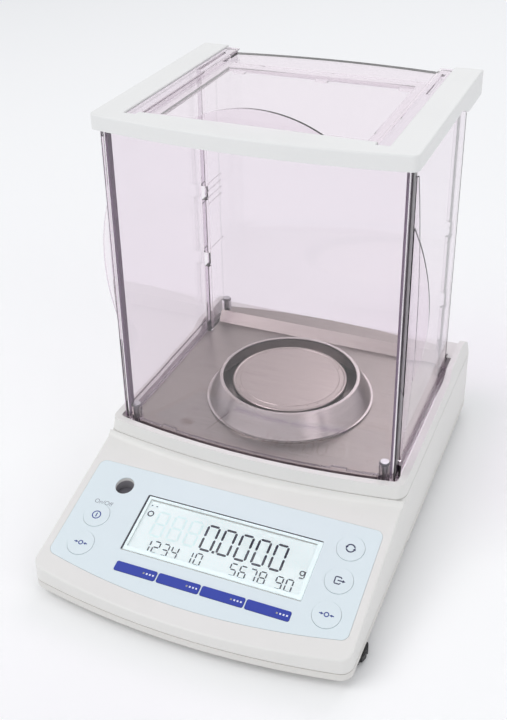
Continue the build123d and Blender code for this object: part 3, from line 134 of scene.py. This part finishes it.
def printedFilm(name, colour):
    # screen-printed polyester film: smooth satin front over an even pale ink
    material, tree = newMaterial(name)
    place = addNode(tree, "ShaderNodeTexCoord").outputs["Object"]
    tooth = addNode(tree, "ShaderNodeTexNoise", {
        "Vector": place, "Scale": 1 / film["pitch"], "Detail": 2.0})
    ink = addNode(tree, "ShaderNodeMapRange", {
        "Value": tooth.outputs["Fac"], "To Min": 0.985, "To Max": 1.01})
    tinted = addNode(tree, "ShaderNodeVectorMath", {
        0: hexLinear(colour)[:3], 1: ink.outputs["Result"]}, operation="MULTIPLY")
    bump = addNode(tree, "ShaderNodeBump", {
        "Height": tooth.outputs["Fac"], "Strength": 0.05, "Distance": film["toothDepth"]})
    shader = addNode(tree, "ShaderNodeBsdfPrincipled", {
        "Base Color": tinted.outputs["Vector"], "Roughness": film["roughness"],
        "IOR": 1.6, "Normal": bump.outputs["Normal"]})
    finishMaterial(tree, shader.outputs["BSDF"])
    return material


sheet = {
    "steel": "#958F8B",
    "panSteel": "#ABA29E",
    "line": 0.35 * mm,  # width of a brush line, drawn about three times the real one
    "run": 40 * mm,     # how far a brush line carries on
    "lineDepth": 0.05 * mm,
    "roughness": 0.34,
    "panRoughness": 0.30,
}


def brushedSheet(name, colour, roughness):
    # stainless sheet with a long straight grain across the balance
    material, tree = newMaterial(name)
    place = addNode(tree, "ShaderNodeTexCoord").outputs["Object"]
    stretched = addNode(tree, "ShaderNodeMapping", {
        "Vector": place, "Scale": (1 / sheet["run"], 1 / sheet["line"], 1 / sheet["line"])})
    lines = addNode(tree, "ShaderNodeTexNoise", {
        "Vector": stretched.outputs["Vector"], "Scale": 1.0, "Detail": 4.0, "Roughness": 0.65})
    tone = addNode(tree, "ShaderNodeMapRange", {
        "Value": lines.outputs["Fac"], "From Min": 0.3, "From Max": 0.7,
        "To Min": 0.80, "To Max": 1.10})
    tinted = addNode(tree, "ShaderNodeVectorMath", {
        0: hexLinear(colour)[:3], 1: tone.outputs["Result"]}, operation="MULTIPLY")
    gloss = addNode(tree, "ShaderNodeMapRange", {
        "Value": lines.outputs["Fac"], "To Min": roughness - 0.06, "To Max": roughness + 0.08})
    bump = addNode(tree, "ShaderNodeBump", {
        "Height": lines.outputs["Fac"], "Strength": 0.08, "Distance": sheet["lineDepth"]})
    shader = addNode(tree, "ShaderNodeBsdfPrincipled", {
        "Base Color": tinted.outputs["Vector"], "Metallic": 1.0,
        "Roughness": gloss.outputs["Result"], "Normal": bump.outputs["Normal"]})
    finishMaterial(tree, shader.outputs["BSDF"])
    return material


ringFinish = {
    "steel": "#B3ADAB",
    "line": 0.8 * mm,  # width of a turning mark, drawn coarse
    "lineDepth": 0.04 * mm,
    "roughness": 0.27,
    "centre": (0.0, 37 * mm),
}


def turnedSteel(name, finish):
    # steel turned on a lathe: fine rings round the upright axis
    material, tree = newMaterial(name)
    place = addNode(tree, "ShaderNodeTexCoord").outputs["Object"]
    moved = addNode(tree, "ShaderNodeVectorMath", {
        0: place, 1: (-finish["centre"][0], -finish["centre"][1], 0.0)}, operation="ADD")
    parts = addNode(tree, "ShaderNodeSeparateXYZ", {"Vector": moved.outputs["Vector"]})
    flat = addNode(tree, "ShaderNodeCombineXYZ", {
        "X": parts.outputs["X"], "Y": parts.outputs["Y"]})
    radius = addNode(tree, "ShaderNodeVectorMath", {0: flat.outputs["Vector"]}, operation="LENGTH")
    across = addNode(tree, "ShaderNodeCombineXYZ", {
        "X": radius.outputs["Value"], "Y": parts.outputs["Z"]})
    rings = addNode(tree, "ShaderNodeTexNoise", {
        "Vector": across.outputs["Vector"], "Scale": 1 / finish["line"], "Detail": 3.0})
    tone = addNode(tree, "ShaderNodeMapRange", {
        "Value": rings.outputs["Fac"], "From Min": 0.3, "From Max": 0.7,
        "To Min": 0.92, "To Max": 1.05})
    tinted = addNode(tree, "ShaderNodeVectorMath", {
        0: hexLinear(finish["steel"])[:3], 1: tone.outputs["Result"]}, operation="MULTIPLY")
    bump = addNode(tree, "ShaderNodeBump", {
        "Height": rings.outputs["Fac"], "Strength": 0.06, "Distance": finish["lineDepth"]})
    shader = addNode(tree, "ShaderNodeBsdfPrincipled", {
        "Base Color": tinted.outputs["Vector"], "Metallic": 1.0,
        "Roughness": finish["roughness"], "Normal": bump.outputs["Normal"]})
    finishMaterial(tree, shader.outputs["BSDF"])
    return material


acrylic = {
    "tint": "#FBF7FA",     # antistatic cast acrylic, a little lavender
    "absorbs": "#C4AAC4",  # what a long way through it leaves of white light
    "density": 18.0,       # per metre
    "lets": "#F2ECF2",     # the part of a lamp's light that goes straight through
    "index": 1.49,
    "roughness": 0.015,
    "ripple": 30 * mm,     # slow waviness of a moulded pane
    "rippleDepth": 0.5 * mm,
}


def antistaticAcrylic(name):
    # clear tinted acrylic: faces nearly colourless, edges dark purple
    material, tree = newMaterial(name)
    place = addNode(tree, "ShaderNodeTexCoord").outputs["Object"]
    waves = addNode(tree, "ShaderNodeTexNoise", {
        "Vector": place, "Scale": 1 / acrylic["ripple"], "Detail": 1.0})
    bump = addNode(tree, "ShaderNodeBump", {
        "Height": waves.outputs["Fac"], "Strength": 0.03, "Distance": acrylic["rippleDepth"]})
    glass = addNode(tree, "ShaderNodeBsdfPrincipled", {
        "Base Color": hexLinear(acrylic["tint"]), "Roughness": acrylic["roughness"],
        "IOR": acrylic["index"], "Transmission Weight": 1.0, "Normal": bump.outputs["Normal"]})
    lamps = addNode(tree, "ShaderNodeBsdfTransparent", {"Color": hexLinear(acrylic["lets"])})
    light = addNode(tree, "ShaderNodeLightPath")
    surface = addNode(tree, "ShaderNodeMixShader", {
        "Fac": light.outputs["Is Shadow Ray"], 1: glass.outputs["BSDF"], 2: lamps.outputs["BSDF"]})
    volume = addNode(tree, "ShaderNodeVolumeAbsorption", {
        "Color": hexLinear(acrylic["absorbs"]), "Density": acrylic["density"]})
    finishMaterial(tree, surface.outputs["Shader"], volume.outputs["Volume"])
    return material


def plainFinish(name, colour, roughness, metallic=0.0, grain=0.8 * mm, depth=0.04 * mm, **more):
    # base for the small mouldings, boards and metal parts inside
    material, tree = newMaterial(name)
    place = addNode(tree, "ShaderNodeTexCoord").outputs["Object"]
    noise = addNode(tree, "ShaderNodeTexNoise", {
        "Vector": place, "Scale": 1 / grain, "Detail": 3.0})
    tone = addNode(tree, "ShaderNodeMapRange", {
        "Value": noise.outputs["Fac"], "To Min": 0.93, "To Max": 1.05})
    tinted = addNode(tree, "ShaderNodeVectorMath", {
        0: hexLinear(colour)[:3], 1: tone.outputs["Result"]}, operation="MULTIPLY")
    bump = addNode(tree, "ShaderNodeBump", {
        "Height": noise.outputs["Fac"], "Strength": 0.15, "Distance": depth})
    inputs = {"Base Color": tinted.outputs["Vector"], "Metallic": metallic,
              "Roughness": roughness, "Normal": bump.outputs["Normal"]}
    inputs.update(more)
    shader = addNode(tree, "ShaderNodeBsdfPrincipled", inputs)
    finishMaterial(tree, shader.outputs["BSDF"])
    return material


housingAbs = mouldedAbs("housingAbs", shellAbs["housing"])
capAbs = mouldedAbs("capAbs", shellAbs["cap"])
trayAbs = mouldedAbs("trayAbs", shellAbs["tray"])
keypadFilm = printedFilm("keypadFilm", film["paper"])
softKeyFilm = printedFilm("softKeyFilm", film["softKey"])
floorSheet = brushedSheet("floorSheet", sheet["steel"], sheet["roughness"])
panSheet = brushedSheet("panSheet", sheet["panSteel"], sheet["panRoughness"])
ringSteel = turnedSteel("ringSteel", ringFinish)
shieldAcrylic = antistaticAcrylic("shieldAcrylic")
blackAbs = plainFinish("blackAbs", "#16161A", 0.45, IOR=1.53)
levelAbs = plainFinish("levelAbs", "#8C8A8E", 0.45, IOR=1.53)
sealRubber = plainFinish("sealRubber", "#6C5A70", 0.6)
footRubber = plainFinish("footRubber", "#1B1B1D", 0.75)
castAluminium = plainFinish("castAluminium", "#B9BABD", 0.5, 1.0, 2.0 * mm, 0.15 * mm)
milledAluminium = plainFinish("milledAluminium", "#C9CACD", 0.3, 1.0, 0.6 * mm)
machineSteel = plainFinish("machineSteel", "#B5B5B8", 0.28, 1.0, 0.5 * mm)
turnedBrass = plainFinish("turnedBrass", "#C9A45C", 0.25, 1.0, 0.5 * mm)
solderMask = plainFinish("solderMask", "#1E5B36", 0.35, 0.0, 3.0 * mm)
displayPane = plainFinish("displayPane", "#FFFFFF", 0.05, **{
    "Transmission Weight": 1.0, "IOR": acrylic["index"]})
displayGlassAndLedgeGlow = plainFinish("displayGlassAndLedgeGlow", "#EEF8FA", 0.25, **{
    "Emission Color": hexLinear("#EAFBFF"), "Emission Strength": 0.22})
vialFluid = plainFinish("vialFluid", "#6A686E", 0.1, IOR=1.45)

paintNodes(housingAbs, "upper_housing")
paintNodes(capAbs, "top_cap")
paintNodes(trayAbs, "lower_tray")
paintNodes(keypadFilm, "keypad_overlay", "on_off_key", "left_zero_key", "right_zero_key",
           "menu_key", "output_key")
paintNodes(softKeyFilm, "soft_key_1", "soft_key_2", "soft_key_3", "soft_key_4")
paintNodes(floorSheet, "floor_plate")
paintNodes(panSheet, "weighing_pan")
paintNodes(ringSteel, "windbreak_ring")
paintNodes(shieldAcrylic, "front_panel", "rear_shell", "top_frame", "top_door",
           "left_door", "right_door", "left_track", "right_track")
paintNodes(levelAbs, "level_cup")
paintNodes(blackAbs, "left_foot_knob", "right_foot_knob",
           "dc_jack", "serial_port", "hook_cover", "motor_bracket",
           "weight_lifter", "board_chips", "key_switches")
paintNodes(sealRubber, "left_seal", "right_seal")
paintNodes(footRubber, "rear_feet")
paintNodes(castAluminium, "base_casting")
paintNodes(milledAluminium, "sensor_block", "calibration_arm", "pan_support")
paintNodes(machineSteel, "tuning_fork", "load_shaft", "calibration_weight", "lift_screw",
           "calibration_motor", "left_foot_stem", "right_foot_stem", "tray_screws",
           "casting_screws", "board_screws", "shield_screws")
paintNodes(turnedBrass, "foot_bushes")
paintNodes(solderMask, "main_board", "display_board")
paintNodes(displayPane, "lcd_window")
paintNodes(displayGlassAndLedgeGlow, "lcd_module")
paintNodes(vialFluid, "level_vial")
print("materials done")


# printed and lit marks on the control panel

panel = {
    "angle": math.radians(15.6),
    "through": Vector((0.0, -102.0, 38.8)) * mm,
    "skin": 0.10 * mm,      # the overlay's face over the panel's surface
    "keyFace": 0.40 * mm,   # the keys' faces
    "ink": 0.03 * mm,
    "displayFace": -1.9 * mm,
}


def panelFrame(x, along, depth):
    # a frame on the panel: x across, y up the slope, z out of it, from millimetres
    c, s = math.cos(panel["angle"]), math.sin(panel["angle"])
    across, up, out = Vector((1, 0, 0)), Vector((0, c, s)), Vector((0, -s, c))
    spot = panel["through"] + across * x * mm + up * along * mm + out * depth
    return Matrix((
        (across.x, up.x, out.x, spot.x),
        (across.y, up.y, out.y, spot.y),
        (across.z, up.z, out.z, spot.z),
        (0, 0, 0, 1)))


def printedMark(name, polygons, place, material, body):
    # flat polygons in panel millimetres, given a little thickness
    build = bmesh.new()
    for points in polygons:
        corners = [build.verts.new((x * mm, y * mm, 0)) for x, y in points]
        build.faces.new(corners)
    bmesh.ops.recalc_face_normals(build, faces=build.faces)
    for face in build.faces:
        if face.normal.z < 0:
            face.normal_flip()
    top = bmesh.ops.extrude_face_region(build, geom=list(build.faces))
    lifted = [item for item in top["geom"] if isinstance(item, bmesh.types.BMVert)]
    bmesh.ops.translate(build, verts=lifted, vec=(0, 0, panel["ink"]))
    bmesh.ops.recalc_face_normals(build, faces=build.faces)
    build.transform(place)
    mesh = bpy.data.meshes.new(name)
    build.to_mesh(mesh)
    build.free()
    piece = bpy.data.objects.new(name, mesh)
    bpy.context.collection.objects.link(piece)
    mesh.materials.append(material)
    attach(piece, body)


def rectangle(x0, y0, x1, y1):
    return [(x0, y0), (x1, y0), (x1, y1), (x0, y1)]


def bar(x0, y0, x1, y1, width):
    # a stroke from one point to another, with pointed ends like a display segment
    dx, dy = x1 - x0, y1 - y0
    length = math.hypot(dx, dy)
    ux, uy = dx / length, dy / length
    nx, ny = -uy * width / 2, ux * width / 2
    tip = width / 2
    return [
        (x0, y0),
        (x0 + ux * tip + nx, y0 + uy * tip + ny),
        (x1 - ux * tip + nx, y1 - uy * tip + ny),
        (x1, y1),
        (x1 - ux * tip - nx, y1 - uy * tip - ny),
        (x0 + ux * tip - nx, y0 + uy * tip - ny),
    ]


def ringStroke(x, y, radius, width, start=0, end=360, steps=36):
    # quads that make a circle or an arc of even width
    quads = []
    for i in range(steps):
        a = math.radians(start + (end - start) * i / steps)
        b = math.radians(start + (end - start) * (i + 1) / steps)
        r, q = radius - width / 2, radius + width / 2
        quads.append([
            (x + r * math.cos(a), y + r * math.sin(a)), (x + q * math.cos(a), y + q * math.sin(a)),
            (x + q * math.cos(b), y + q * math.sin(b)), (x + r * math.cos(b), y + r * math.sin(b))])
    return quads


def arrowHead(x, y, size, direction):
    # a small solid triangle that points along the direction in degrees
    a = math.radians(direction)
    corners = [(size, 0), (-size * 0.6, size * 0.85), (-size * 0.6, -size * 0.85)]
    return [(x + u * math.cos(a) - v * math.sin(a), y + u * math.sin(a) + v * math.cos(a))
            for u, v in corners]


# the lit segments of the display, whose dark ink also paints the window's shade, and the inks of
# the keypad
segmentAndShadeInk = plainFinish("segmentAndShadeInk", "#1B1D3A", 0.3)
ghostInk = plainFinish("ghostInk", "#DDEEF0", 0.3, **{
    "Emission Color": hexLinear("#DDEFF2"), "Emission Strength": 0.2})
darkInk = plainFinish("darkInk", "#23284F", 0.4)
blueInk = plainFinish("blueInk", "#2A3F8F", 0.4)
greyInk = plainFinish("greyInk", "#8F949C", 0.4)
whiteInk = plainFinish("whiteInk", "#E9EEF5", 0.4)
yellowInk = plainFinish("yellowInk", "#9FA08A", 0.4)

digits = {
    "firstX": -7.9, "pitch": 12.0, "width": 7.6, "low": -7.2, "high": 11.0,
    "stroke": 1.6, "gap": 0.35, "count": 5, "ghosts": 3,
    "pointHalf": 0.9, "pointLow": -0.7, "pointHigh": 1.1, "rise": 0.01 * mm,
}


def digitStrokes(x, wanted, style=digits):
    # the seven segments of a digit, named a to g in the usual order
    w, low, high, gap = style["width"], style["low"], style["high"], style["gap"]
    middle = (low + high) / 2
    ends = {
        "a": (x + gap, high, x + w - gap, high), "d": (x + gap, low, x + w - gap, low),
        "g": (x + gap, middle, x + w - gap, middle),
        "b": (x + w, middle + gap, x + w, high - gap), "c": (x + w, low + gap, x + w, middle - gap),
        "f": (x, middle + gap, x, high - gap), "e": (x, low + gap, x, middle - gap)}
    return [bar(*ends[s], style["stroke"]) for s in wanted]


onDisplay = panelFrame(0, 0, panel["displayFace"] + digits["rise"])
weightStrokes = []
for i in range(digits["count"]):
    weightStrokes += digitStrokes(digits["firstX"] + i * digits["pitch"], "abcdef")
pointX = digits["firstX"] + (digits["width"] + digits["pitch"]) / 2
weightStrokes.append(rectangle(
    pointX - digits["pointHalf"], digits["low"] + digits["pointLow"],
    pointX + digits["pointHalf"], digits["low"] + digits["pointHigh"]))
printedMark("weightReading", weightStrokes, onDisplay, segmentAndShadeInk, "base")
ghostStrokes = []
for i in range(digits["ghosts"]):
    ghostStrokes += digitStrokes(digits["firstX"] - (i + 1) * digits["pitch"], "abcdefg")
printedMark("idleSegments", ghostStrokes, onDisplay, ghostInk, "base")

lowRow = {
    "pitch": 6.6, "width": 4.2, "low": -19.0, "high": -10.6, "stroke": 0.95, "gap": 0.25,
    "groups": [("1234", -44.0), ("10", -14.0), ("5678", 17.0), ("90", 48.0)],
}
lit = {"0": "abcdef", "1": "bc", "2": "abged", "3": "abgcd", "4": "fgbc", "5": "afgcd",
       "6": "afgedc", "7": "abc", "8": "abcdefg", "9": "abcdfg"}
numberStrokes = []
for word, x in lowRow["groups"]:
    for i, digit in enumerate(word):
        numberStrokes += digitStrokes(x + i * lowRow["pitch"], lit[digit], lowRow)
printedMark("keyNumbers", numberStrokes, onDisplay, segmentAndShadeInk, "base")

displaySigns = {
    "keyPointers": [(x, -21.6, 1.2, -90) for x in (-36.9, -7.0, 23.0, 52.7)],
    "stableRing": (-49.9, 7.9, 1.9, 0.9),
    "zeroArrows": [(-51.6, 14.1, 0.8, 0), (-48.2, 14.1, 0.8, 180)],
    "gramBowl": (62.0, -4.2, 1.5, 0.8),
    "gramTail": [(63.8, -2.4, 63.8, -7.4, 0.8), (63.8, -7.6, 60.6, -7.8, 0.8)],
}
signs = [arrowHead(*pointer) for pointer in displaySigns["keyPointers"]]
signs += ringStroke(*displaySigns["stableRing"])
signs += [arrowHead(*arrow) for arrow in displaySigns["zeroArrows"]]
signs += ringStroke(*displaySigns["gramBowl"])
signs += [bar(*stroke) for stroke in displaySigns["gramTail"]]
printedMark("displaySigns", signs, onDisplay, segmentAndShadeInk, "base")

# painted light and shade on the window's border: a white glowing strip that covers the shaded
# ledge, and painted shade under its upper and left edges
border = {
    "left": -56.9, "right": 67.9, "low": -22.8, "high": 21.0,
    "width": 3.2, "line": 1.2, "depth": -0.02 * mm,
}


def windowLightAndShade():
    x0, x1, y0, y1 = (border[side] for side in ("left", "right", "low", "high"))
    w, line = border["width"], border["line"]
    place = panelFrame(0, 0, border["depth"])
    # painted highlight: a white strip in the screen's glowing finish over the ledge, which would
    # otherwise be in shade
    printedMark("windowLedgeGlow", [
        rectangle(x0 + line, y0, x0 + w, y1 - w),
        rectangle(x1 - w, y0, x1, y1 - w),
        rectangle(x0 + line, y1 - w, x1, y1 - line),
        rectangle(x0 + w, y0, x1 - w, y0 + w)], place, displayGlassAndLedgeGlow, "base")
    # painted shade: dark strips in the segments' ink along the upper and left edges, where the
    # window's recess is in shadow
    printedMark("windowShade", [
        rectangle(x0, y0, x0 + line, y1 - line),
        rectangle(x0, y1 - line, x1, y1)], place, segmentAndShadeInk, "base")


windowLightAndShade()
print("display done")

# the one word is the plain On/Off of the switch
legend = {
    "size": 4.6 * mm,
    "words": [("onOffLegend", "On/Off", -84.4, 5.6)],
}


def legendWord(name, word, x, along):
    # a key's name in plain grey type above it
    curve = bpy.data.curves.new(name, "FONT")
    curve.body = word
    curve.size = legend["size"]
    curve.align_x = "CENTER"
    curve.align_y = "CENTER"
    curve.extrude = panel["ink"] / 2
    piece = bpy.data.objects.new(name, curve)
    bpy.context.collection.objects.link(piece)
    bpy.context.view_layer.update()
    mesh = bpy.data.meshes.new_from_object(piece)
    bpy.data.objects.remove(piece)
    mesh.transform(panelFrame(x, along, panel["skin"] + panel["ink"] / 2))
    mesh.materials.clear()
    mesh.materials.append(greyInk)
    printed = bpy.data.objects.new(name, mesh)
    bpy.context.collection.objects.link(printed)
    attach(printed, "base")


for name, word, x, along in legend["words"]:
    legendWord(name, word, x, along)


# each sign in millimetres from the middle of its key
keySigns = {
    "zero": {
        "ring": (0, 0, 1.35, 0.7), "steps": 24,
        "bars": [(-4.9, 0, -2.6, 0, 0.7), (4.9, 0, 2.6, 0, 0.7)],
        "heads": [(-2.9, 0, 1.1, 0), (2.9, 0, 1.1, 180)],
    },
    "power": {"ring": (0, 0, 2.8, 0.75), "bar": (0, 1.7, 0, -1.7, 0.8)},
    "menu": {
        "arcs": [(0, 0, 2.7, 0.9, 20, 165, 18), (0, 0, 2.7, 0.9, 200, 345, 18)],
        "heads": [(-2.7, 0.2, 1.2, -100), (2.7, -0.2, 1.2, 80)],
    },
    "output": {
        "box": [(1.2, 2.4, -2.6, 2.4), (-2.6, 2.4, -2.6, -2.4), (-2.6, -2.4, 1.2, -2.4),
                (1.2, 2.4, 1.2, 1.3), (1.2, -2.4, 1.2, -1.3)],
        "arrow": (-1.0, 0, 2.6, 0), "head": (3.1, 0, 1.2, 0), "stroke": 0.8,
    },
}


def zeroMark(name, x, along, body):
    # an arrow each way towards a nought
    sign = keySigns["zero"]
    strokes = ringStroke(*sign["ring"], steps=sign["steps"])
    strokes += [bar(*ends) for ends in sign["bars"]]
    strokes += [arrowHead(*head) for head in sign["heads"]]
    printedMark(name, strokes, panelFrame(x, along, panel["keyFace"]), blueInk, body)


def powerMark(name, x, along, body):
    # an upright stroke in a ring
    sign = keySigns["power"]
    strokes = ringStroke(*sign["ring"])
    strokes.append(bar(*sign["bar"]))
    printedMark(name, strokes, panelFrame(x, along, panel["keyFace"]), blueInk, body)


def menuMark(name, x, along, body):
    # two arrows that follow each other round
    sign = keySigns["menu"]
    strokes = []
    for arc in sign["arcs"]:
        strokes += ringStroke(*arc)
    strokes += [arrowHead(*head) for head in sign["heads"]]
    printedMark(name, strokes, panelFrame(x, along, panel["keyFace"]), darkInk, body)


def outputMark(name, x, along, body):
    # an arrow that leaves a box
    sign = keySigns["output"]
    strokes = [bar(*ends, sign["stroke"]) for ends in sign["box"]]
    strokes += [bar(*sign["arrow"], sign["stroke"]), arrowHead(*sign["head"])]
    printedMark(name, strokes, panelFrame(x, along, panel["keyFace"]), darkInk, body)


powerMark("powerSign", -84.4, -4.6, "on_off_key_button")
zeroMark("leftZeroSign", -84.4, -27.0, "left_zero_key_button")
zeroMark("rightZeroSign", 85.6, -27.0, "right_zero_key_button")
menuMark("menuSign", 85.6, 20.8, "menu_key_button")
outputMark("outputSign", 85.6, -3.1, "output_key_button")

# four small dots at the right end of each soft key
dots = {"rise": -35.1, "size": 1.1, "pitch": 2.2, "fromEnd": 2.0, "count": 4, "keys": 4}
half = dots["size"] / 2
square = rectangle(-half, -half, half, half)
for i in range(1, dots["keys"] + 1):
    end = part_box(f"soft_key_{i}")[1][0] / mm - dots["fromEnd"]
    for j in range(1, dots["count"] + 1):
        place = panelFrame(end - (j - 1) * dots["pitch"], dots["rise"], panel["keyFace"])
        ink = yellowInk if j == dots["count"] else whiteInk
        printedMark(f"softKeyDot{i}_{j}", [square], place, ink, f"soft_key_{i}_button")
print("legends done")


# floor, light and camera

studio = {
    "floorSize": 6.0, "floorColour": "#FDFDFD",
    "fill": 0.62,
    "lamps": [
        # name, place, aimed at, width, height, watts
        ("keyLamp", (-1.2, -1.3, 2.2), (0, 0, 0.12), 1.6, 1.6, 26.0),
        ("fillLamp", (1.8, -1.0, 1.4), (0, 0, 0.12), 1.5, 1.5, 9.0),
        ("backLamp", (0.2, 1.9, 2.0), (0, 0, 0.15), 1.8, 1.2, 12.0),
    ],
}


def seenWhite(tree):
    # the camera, metal and clear plastic see plain white behind the object
    light = addNode(tree, "ShaderNodeLightPath")
    seen = addNode(tree, "ShaderNodeMath", {
        0: light.outputs["Is Camera Ray"], 1: light.outputs["Is Glossy Ray"]},
        operation="MAXIMUM")
    seen = addNode(tree, "ShaderNodeMath", {
        0: seen.outputs["Value"], 1: light.outputs["Is Transmission Ray"]}, operation="MAXIMUM")
    return seen.outputs["Value"]


def studioWorld():
    world = bpy.data.worlds.new("studioWorld")
    bpy.context.scene.world = world
    world.use_nodes = True
    tree = world.node_tree
    tree.nodes.clear()
    seen = seenWhite(tree)
    white = addNode(tree, "ShaderNodeBackground", {"Color": (1, 1, 1, 1), "Strength": 1.0})
    soft = addNode(tree, "ShaderNodeBackground", {
        "Color": hexLinear("#F4F6FA"), "Strength": studio["fill"]})
    mix = addNode(tree, "ShaderNodeMixShader", {
        "Fac": seen, 1: soft.outputs["Background"], 2: white.outputs["Background"]})
    addNode(tree, "ShaderNodeOutputWorld", {"Surface": mix.outputs["Shader"]})


def studioFloor():
    mesh = bpy.data.meshes.new("studioFloor")
    half = studio["floorSize"] / 2
    mesh.from_pydata([(-half, -half, 0), (half, -half, 0), (half, half, 0), (-half, half, 0)],
                     [], [(0, 1, 2, 3)])
    floor = bpy.data.objects.new("studioFloor", mesh)
    bpy.context.collection.objects.link(floor)
    material, tree = newMaterial("palePaper")
    shader = addNode(tree, "ShaderNodeBsdfDiffuse", {"Color": hexLinear(studio["floorColour"])})
    finishMaterial(tree, shader.outputs["BSDF"])
    mesh.materials.append(material)


def addLamp(name, place, aim, width, height, watts):
    data = bpy.data.lights.new(name, "AREA")
    data.shape = "RECTANGLE"
    data.size, data.size_y = width, height
    data.energy = watts
    lamp = bpy.data.objects.new(name, data)
    lamp.location = place
    lamp.rotation_mode = "QUATERNION"
    lamp.rotation_quaternion = (Vector(aim) - Vector(place)).to_track_quat("-Z", "Y")
    bpy.context.collection.objects.link(lamp)


studioWorld()
studioFloor()
for lamp in studio["lamps"]:
    addLamp(*lamp)

photoCamera = {
    "place": Vector((225.4, -557.5, 501.5)) * mm,
    "yaw": math.radians(23.105), "pitch": math.radians(28.656), "roll": math.radians(-1.106),
    "focalPixels": 1035.2, "photoWidth": 507, "photoHeight": 720,
    "opticalCentre": (253.5, 288.0), "sensorWidth": 36.0,
}


def addCamera():
    a, e, turn = photoCamera["yaw"], photoCamera["pitch"], photoCamera["roll"]
    back = Vector((math.sin(a) * math.cos(e), -math.cos(a) * math.cos(e), math.sin(e)))
    right = Vector((math.cos(a), math.sin(a), 0))
    up = back.cross(right)
    right, up = (math.cos(turn) * right + math.sin(turn) * up,
                 -math.sin(turn) * right + math.cos(turn) * up)
    data = bpy.data.cameras.new("photoCamera")
    longSide = photoCamera["photoHeight"]
    data.sensor_width = photoCamera["sensorWidth"]
    data.lens = photoCamera["focalPixels"] * data.sensor_width / longSide
    centreX, centreY = photoCamera["opticalCentre"]
    data.shift_x = (photoCamera["photoWidth"] / 2 - centreX) / longSide
    data.shift_y = (centreY - longSide / 2) / longSide
    camera = bpy.data.objects.new("photoCamera", data)
    bpy.context.collection.objects.link(camera)
    spot = photoCamera["place"]
    camera.matrix_world = Matrix((
        (right.x, up.x, back.x, spot.x), (right.y, up.y, back.y, spot.y),
        (right.z, up.z, back.z, spot.z), (0, 0, 0, 1)))
    bpy.context.scene.camera = camera


addCamera()
bpy.context.scene.view_settings.view_transform = "Standard"
print("stage done")
